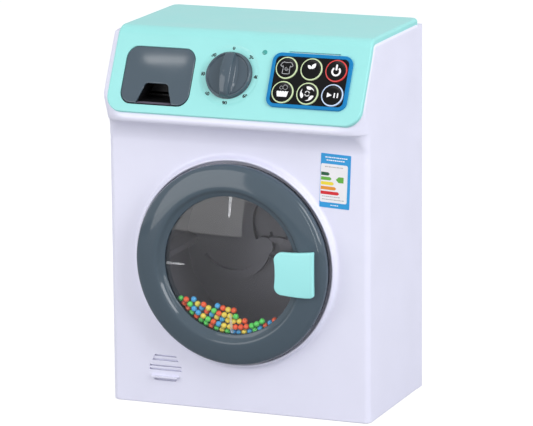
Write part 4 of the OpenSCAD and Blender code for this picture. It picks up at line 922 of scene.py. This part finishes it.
def icons():
    shirt = mirrored([(-1.1, 3.9), (-2.0, 4.2), (-3.4, 3.7), (-4.7, 1.7), (-3.4, 0.7), (-2.7, 1.4),
                      (-2.5, -0.6), (-2.7, -4.1), (-1.9, -4.5)])
    swirl = [(1.5 * t * cos(150 + 560 * t), -0.7 + 1.5 * t * sin(150 + 560 * t))
             for t in [i / 14 for i in range(3, 15)]]
    leaves = [leaf(48, -0.1, 0.3, 0.95), leaf(-34, 0.1, 0.3, 1.2)]
    power = [arc(0, -0.5, 3.55, 128, 412, 40) + arc(0, -0.5, 2.25, 412, 128, 40),
             roundedBox(1.4, 4.4, 0.65, 0, 2.5, 4)]
    wave = [(-4.4 + 8.8 * i / 24, 0.3 + 0.5 * abs(sin(15 * 2.25 * i))) for i in range(25)]
    basin = [[(-3.6, -3.4), (3.6, -3.4)] + wave[::-1]]
    bubbles = [edge for bubble in (circleLoop(1.2, -1.3, 3.2, 14), circleLoop(1.7, 1.6, 3.6, 16))
               for edge in strokes(bubble, 0.35, True)]
    spin = [blade(t) for t in (0, 120, 240)]
    hub = [edge for start in (20, 200)
           for edge in strokes([(1.7 * cos(a), 1.7 * sin(a)) for a in range(start, start + 130, 16)], 0.7)]
    play = [[(-3.9, -1.8), (-0.2, 0), (-3.9, 1.8)], roundedBox(0.95, 3.6, 0.2, 1.6, 0, 2),
            roundedBox(0.95, 3.6, 0.2, 4.0, 0, 2)]
    grey, white = 2, 3   # places of the inks among a button's materials
    return [
        [(strokes(shirt, 0.5, True) + strokes(swirl, 0.5), grey)], [(leaves, white)], [(power, white)],
        [(basin, white), (bubbles, grey)], [(spin + hub, white)], [(play, white)],
    ]


def buildButtons():
    drawn = icons()
    for i in range(6):
        shape, place = Shape(), slopeFrom(*buttonMiddle(i))
        r, top = keypad["button"], keypad["buttonTop"]
        ring = [(r, 1.9), (r, top - 0.45), (r - 0.13, top - 0.15), (r - 0.45, top)]
        lathe(shape, ring + [(keypad["ring"], top)], place, 64, tag=1)
        lathe(shape, [(keypad["ring"], top), (keypad["ring"] - 0.25, top - 0.12), (4, top - 0.12),
                      (0, top - 0.12)], place, 64)
        for outlines, tag in drawn[i]:
            for outline in outlines:
                shape.face(shape.loop([place(u, v, top - 0.09) for u, v in outline]), tag)
        makePiece("pushButton%d" % (i + 1), shape, "key_%d" % (i + 1),
                  [faceBlack, buttonRings[i], inkGrey, inkWhite], ["button_%d" % (i + 1)])


buildKeypad()
buildButtons()
print("keypad built")

# the sticker: blue card, pale panel, plain arrows and bars
sticker = {
    "x": 74.6, "z": 175.5, "width": 22.6, "height": 39.1, "lean": -2.5, "thick": 0.22,
    "arrows": [6.6, 8.1, 10.0, 11.8, 14.2], "arrowHalf": 1.2, "pitch": 3.42,
    "dashes": (1.3, 0.8, 1.6, 1.0), "dashGap": 0.35,
}


def onSticker(u, v, f):
    u, v = turned(u, v, sticker["lean"])
    return onFace(sticker["x"] + u, sticker["z"] + v, f)


def buildSticker():
    shape = Shape()
    w, h, thick = sticker["width"], sticker["height"], sticker["thick"]
    plate(shape, roundedBox(w, h, 0.5), onSticker, thick, 0.01, 0.05, steps=1)

    def print2d(outline, tag, level=1):
        shape.face(shape.loop([onSticker(u, v, thick + 0.012 * level) for u, v in outline]), tag)

    left, right = -w / 2 + 0.25, w / 2 - 2.1
    high, low = h / 2 - 7.4, -h / 2 + 3.9
    print2d(roundedBox(right - left, high - low, 1.3, (left + right) / 2, (high + low) / 2, 4), 1)
    for k, length in enumerate(sticker["arrows"]):
        z, tall = h / 2 - 14.7 - sticker["pitch"] * k, sticker["arrowHalf"]
        print2d([(left + 0.35, z - tall), (left + length - 1, z - tall), (left + length + 0.3, z),
                 (left + length - 1, z + tall), (left + 0.35, z + tall)], 2 + k, 2)
    z = h / 2 - 18.3
    print2d([(left + 17.4, z - 2.1), (left + 17.4, z + 2.1), (left + 13.6, z + 2.1), (left + 11.6, z),
             (left + 13.6, z - 2.1)], 3, 2)
    bars = [(0, h / 2 - 2.6, 16, 1.0, 7), (0, h / 2 - 4.7, 14, 1.0, 7), (-1.2, high - 2.1, 13.6, 0.9, 8),
            (-2.6, low + 4.2, 14, 0.8, 8), (-1.2, low + 2.1, 16.4, 0.8, 8), (0.4, low - 1.9, 6.5, 0.8, 7)]
    for x, z, wide, tall, tag in bars:
        at = x - wide / 2
        step = 0
        while at < x + wide / 2 - 0.4:   # broken into dashes of uneven length
            size = sticker["dashes"][step % len(sticker["dashes"])]
            print2d(roundedBox(size, tall * 0.75, 0.1, at + size / 2, z, 1), tag, 2)
            at += size + sticker["dashGap"]
            step += 1
    makePiece("stickerCard", shape, "case",
              [stickerBlue, stickerPaper] + arrowInks + [inkWhite, inkGrey], ["energy_label"], smooth=0)


buildSticker()
print("sticker built")

# the door ring, its window and what shows behind it
ringProfile = [(72.4, 5.3), (73.0, 6.2), (73.5, 8.0), (73.55, 9.6), (73.1, 11.0), (72.1, 12.2),
               (70.4, 13.3), (68.0, 14.25), (65.4, 15.05), (62.6, 15.75), (60.0, 16.2), (57.8, 16.4),
               (56.3, 16.25), (55.3, 15.7), (54.5, 14.8), (53.7, 14.0), (52.7, 13.35), (51.6, 12.8),
               (50.8, 12.35), (50.5, 11.95), (50.5, 11.6)]
ringInside = [(50.6, 11.5), (55.6, 11.5), (57.6, 12.6), (61, 13.8), (66, 13.8), (69.6, 12.2),
              (71, 9.6), (71, 5.3)]
latchArm = {"low": 54.4, "high": 64.9, "half": 8.5}
hinge = {"x": -70.6, "half": 14.4, "ear": 4, "length": 11.2, "depth": 11.2}


def buildRing():
    shape = Shape()
    lathe(shape, softLine(ringProfile, 4) + ringInside, onDoor, 192, closed=True)
    ring = makePiece("doorRingSmooth", shape, "door", [slatePlastic], ["door_ring"])
    cutters = [prism(roundedBox(hinge["length"], hinge["ear"] + 1, 0.4, hinge["x"],
                                side * (hinge["half"] + hinge["ear"] / 2), 1), onDoor, 4, hinge["depth"])
               for side in (-1, 1)]
    low, high = latchArm["low"], latchArm["high"]
    arm = roundedBox(high - low, 2 * latchArm["half"], 0.6, (high + low) / 2, 0, 2)
    cutters.append(prism(arm, onDoor, 6, 20))
    notch = [turned(r, 0, a) for r, a in ((72.8, -33.6), (75, -33.6), (75, -31.8), (72.8, -31.8))]
    cutters.append(prism(notch, onDoor, 6.6, 10.5))
    carve(ring, cutters, 34)


window = {"radius": 50.5, "flange": 55.1, "low": 10.2, "thick": 1.2, "rise": 4.4,
          "inner": 0.98, "tabs": [90, 182.5, 270, 2.5], "tabLength": 14.5, "tabHalf": 0.75, "tabDepth": 2.3}


def domeHeight(r):
    big = (window["radius"] ** 2 + window["rise"] ** 2) / (2 * window["rise"])
    return math.sqrt(big * big - r * r) - (big - window["rise"])


def innerDome(r):
    return window["low"] + domeHeight(r) * window["inner"]


def buildWindow():
    shape = Shape()
    low, thick = window["low"], window["thick"]
    outer = [(r, low + thick + domeHeight(r)) for r in (0, 6, 12, 18, 24, 30, 35, 40, 44, 47, 49, 50.2)]
    inner = [(r, innerDome(r)) for r, f in outer]
    lathe(shape, outer + [(50.4, low + thick), (window["flange"], low + thick), (window["flange"], low)]
          + inner[::-1], onDoor, 128)
    makePiece("windowDome", shape, "door", [windowClear], ["door_window"], smooth=40)
    tabs = Shape()
    for turn in window["tabs"]:
        rows = []
        for t in turns(0, 1, 12):
            r = window["radius"] - 0.6 - window["tabLength"] * t
            half = window["tabHalf"] * (1 - 0.35 * t) * (1 if t < 0.93 else 0.6)
            top = innerDome(r) - 0.15
            deep = window["tabDepth"] * (1 - 0.55 * t)
            section = [(-half, top), (-half, top - deep + 0.3), (-half * 0.6, top - deep),
                       (half * 0.6, top - deep), (half, top - deep + 0.3), (half, top)]
            rows.append(tabs.loop([onDoor(*turned(r, u, turn), f) for u, f in section]))
        tabs.stack(rows, ends=True)
    makePiece("windowTabs", tabs, "door", [tabClear], smooth=30)


buildRing()
buildWindow()
print("door built")

# loose beads that lie in the lower left of the window
beads = {"radius": 2.15, "room": 52.2, "pitch": 3.95, "rows": 7, "from": 205, "to": 311, "left": -47.5,
         "seed": 23, "stray": 0.12, "shares": (23, 33, 27, 17),
         "surface": [(-47, -21.5), (-42.4, -25.5), (-34, -26.5), (-26.8, -28.2), (-16, -31), (-8, -31.5),
                     (1, -33.5), (7, -38.5), (13.4, -40), (22, -38.2), (30.3, -38), (36, -35)]}


def beadRows():
    chance = random.Random(beads["seed"])
    r = beads["radius"]
    found = []
    for row in range(beads["rows"]):
        reach = beads["room"] - r - 0.1 - row * beads["pitch"]
        step = math.degrees(2 * (r + 0.02) / reach)
        a = beads["from"] + (step / 2 if row % 2 else 0)
        while a < beads["to"]:
            x = reach * cos(a) + chance.uniform(-beads["stray"], beads["stray"])
            z = reach * sin(a) + chance.uniform(-beads["stray"], beads["stray"])
            f = 5.5 + chance.uniform(0, 0.8) + (1.9 if row % 2 else 0)
            if z < between(beads["surface"], x) and x > beads["left"]:
                found.append((x, z, f))
            a += step
    return found


def addBall(shape, middle, radius, tag, around=14, up=8):
    def place(u, v, h):
        return onDoor(middle[0] + u, middle[1] + v, middle[2] + h)
    profile = [(radius * sin(a), -radius * cos(a)) for a in turns(0, 180, up)]
    lathe(shape, profile, place, around, tag=tag)


def buildBeads():
    shape = Shape()
    chance = random.Random(beads["seed"] + 3)
    spots = beadRows()
    for spot in spots:
        addBall(shape, spot, beads["radius"], chance.choices(range(4), beads["shares"])[0])
    makePiece("looseBeads", shape, "door", beadTints, ["beads"], smooth=80)
    print("beads:", len(spots))


buildBeads()

# the mint latch: a thin curved plate with a waisted left side, on its arm
latch = {"left": 36.7, "right": 66.6, "low": -17.2, "high": 15.2, "corner": 6, "front": 20.9, "thick": 3,
         "arm": (54.8, 59, 7), "armLow": -4.1, "armHigh": 18.6}


def latchOutline():
    left, right, low, high = latch["left"], latch["right"], latch["low"], latch["high"]
    corner = latch["corner"]
    return arc(left + corner, low + 0.6 + corner, corner, 180, 270, 9) \
        + [(48, low + 0.1), (54, low - 0.25), (60, low - 0.3), (64.5, low + 0.1)] \
        + arc(right - 1.8, low + 2.3, 1.8, 280, 360, 4) + [(right, -8), (right, 0), (right, 8)] \
        + arc(right - 0.5, high + 0.6, 0.5, 0, 90, 3) \
        + [(62, high + 0.6), (56, high - 0.2), (50, high - 0.5)] \
        + arc(left + corner, high - 0.5 - corner, corner, 90, 180, 9) \
        + [(left + 0.55, 5), (left + 0.75, 1), (left + 0.75, -3), (left + 0.5, -7)]


def onLatch(u, v, h):
    # the plate bows forward a little at its sides
    bow = 0.5 * ((u - 52) / 16) ** 2 - 0.45 * (v / 16) ** 2
    return onDoor(u, v, latch["front"] - 0.5 + bow + h)


def buildLatch():
    shape = Shape()
    inner = [[(u, v) for u in range(42, 65, 3)] for v in range(-12, 12, 3)]
    plate(shape, latchOutline(), onLatch, 0, -latch["thick"], 0.9, extra=inner, back=True)
    x0, x1, half = latch["arm"]
    for low, high, deep in ((x0, x1, latch["armLow"]), (x1 - 0.5, 63.6, 9.4)):
        box = roundedBox(high - low, 2 * half - 0.2, 0.5, (low + high) / 2, 0, 2)
        shape.block([onDoor(u, v, deep) for u, v in box], [onDoor(u, v, latch["armHigh"]) for u, v in box])
    evenShading(makePiece("latchPull", shape, "latch", [latchMint], ["door_latch"]))


buildLatch()
print("latch built")

# stage: pale floor that keeps a soft shadow, white background, soft lamps
stage = {
    "floorSize": 40, "ambient": 0.79, "roomTint": (0.96, 0.97, 1, 1), "paperTint": (0.42, 0.42, 0.43, 1),
    "paperGlow": 0.7, "middle": (0, 10, 135), "drawerSide": (-62, -61, 271), "white": (1, 1, 1),
}
# name: aim, azimuth, elevation, turn, distance, width, height, radiance, lights matt faces, tint
lamps = {
    "keyBox": ("middle", -33, 14.5, 0, 1.25, 0.77, 0.88, 1.7, True, (1, 0.99, 0.985)),
    "keyShine": ("middle", -33, 14.5, 0, 1.25, 0.77, 0.88, 1.6, False, stage["white"]),
    "sideBox": ("middle", 66, 26, 0, 1.8, 0.8, 1.1, 4.8, True, (0.97, 0.975, 1)),
    "stripBox": ("middle", 26, 10, 0, 1.9, 0.05, 0.9, 8.0, False, stage["white"]),
    # turned so that its reflection lies level on the drawer
    "barBox": ("drawerSide", -31.2, 40.4, 24, 0.25, 0.034, 0.007, 5.4, False, stage["white"]),
}


def seenByEye(tree):
    return eitherRay(tree, "Is Camera Ray", "Is Transmission Ray")


def buildRoom():
    world = bpy.data.worlds.new("paleRoom")
    bpy.context.scene.world = world
    world.use_nodes = True
    tree = world.node_tree
    light = setInputs(tree.nodes["Background"], {"Color": stage["roomTint"], "Strength": stage["ambient"]})
    shown = addNode(tree, "Background", {"Color": (1, 1, 1, 1)})
    blendShaders(tree, "MixShader", "World Output", seenByEye(tree), light.outputs[0], shown.outputs[0])


def buildFloor():
    paper = bpy.data.materials.new("paleFloor")
    paper.use_nodes = True
    tree = paper.node_tree
    shader = setInputs(tree.nodes["Principled BSDF"], {
        "Base Color": stage["paperTint"], "Roughness": 1, "IOR": 1})
    glow = addNode(tree, "Emission", {"Color": (1, 1, 1, 1)})
    dim = addNode(tree, "Math", {1: stage["paperGlow"]})
    dim.operation = "MULTIPLY"
    wire(tree, (seenByEye(tree), dim.inputs[0]), (dim.outputs[0], glow.inputs["Strength"]))
    blendShaders(tree, "AddShader", "Material Output", shader.outputs[0], glow.outputs[0])
    half = stage["floorSize"] * 1000 / 2
    shape, marks = Shape(), turns(-half, half, 4)
    shape.stack([shape.loop([(x, y, -0.02) for x in marks]) for y in marks], False)
    floor = makePiece("paleFloor", shape, None, [paper], smooth=0, keep=False)


def buildLamps():
    for name, values in lamps.items():
        aim, azimuth, elevation, turn, distance, width, height, radiance, matt, tint = values
        data = bpy.data.lights.new(name, "AREA")
        data.shape, data.size, data.size_y = "RECTANGLE", width, height
        data.energy = radiance * width * height * 4
        data.color = tint
        lamp = addObject(name, data)
        lamp.visible_diffuse = matt
        away = outward(azimuth, elevation)
        lamp.location = Vector(stage[aim]) * mm + away * distance
        lamp.rotation_mode = "QUATERNION"
        lamp.rotation_quaternion = away.to_track_quat("Z", "Y") @ Quaternion((0, 0, 1), math.radians(turn))


buildRoom()
buildFloor()
buildLamps()
bpy.context.scene.view_settings.view_transform = "Standard"
print("stage set")
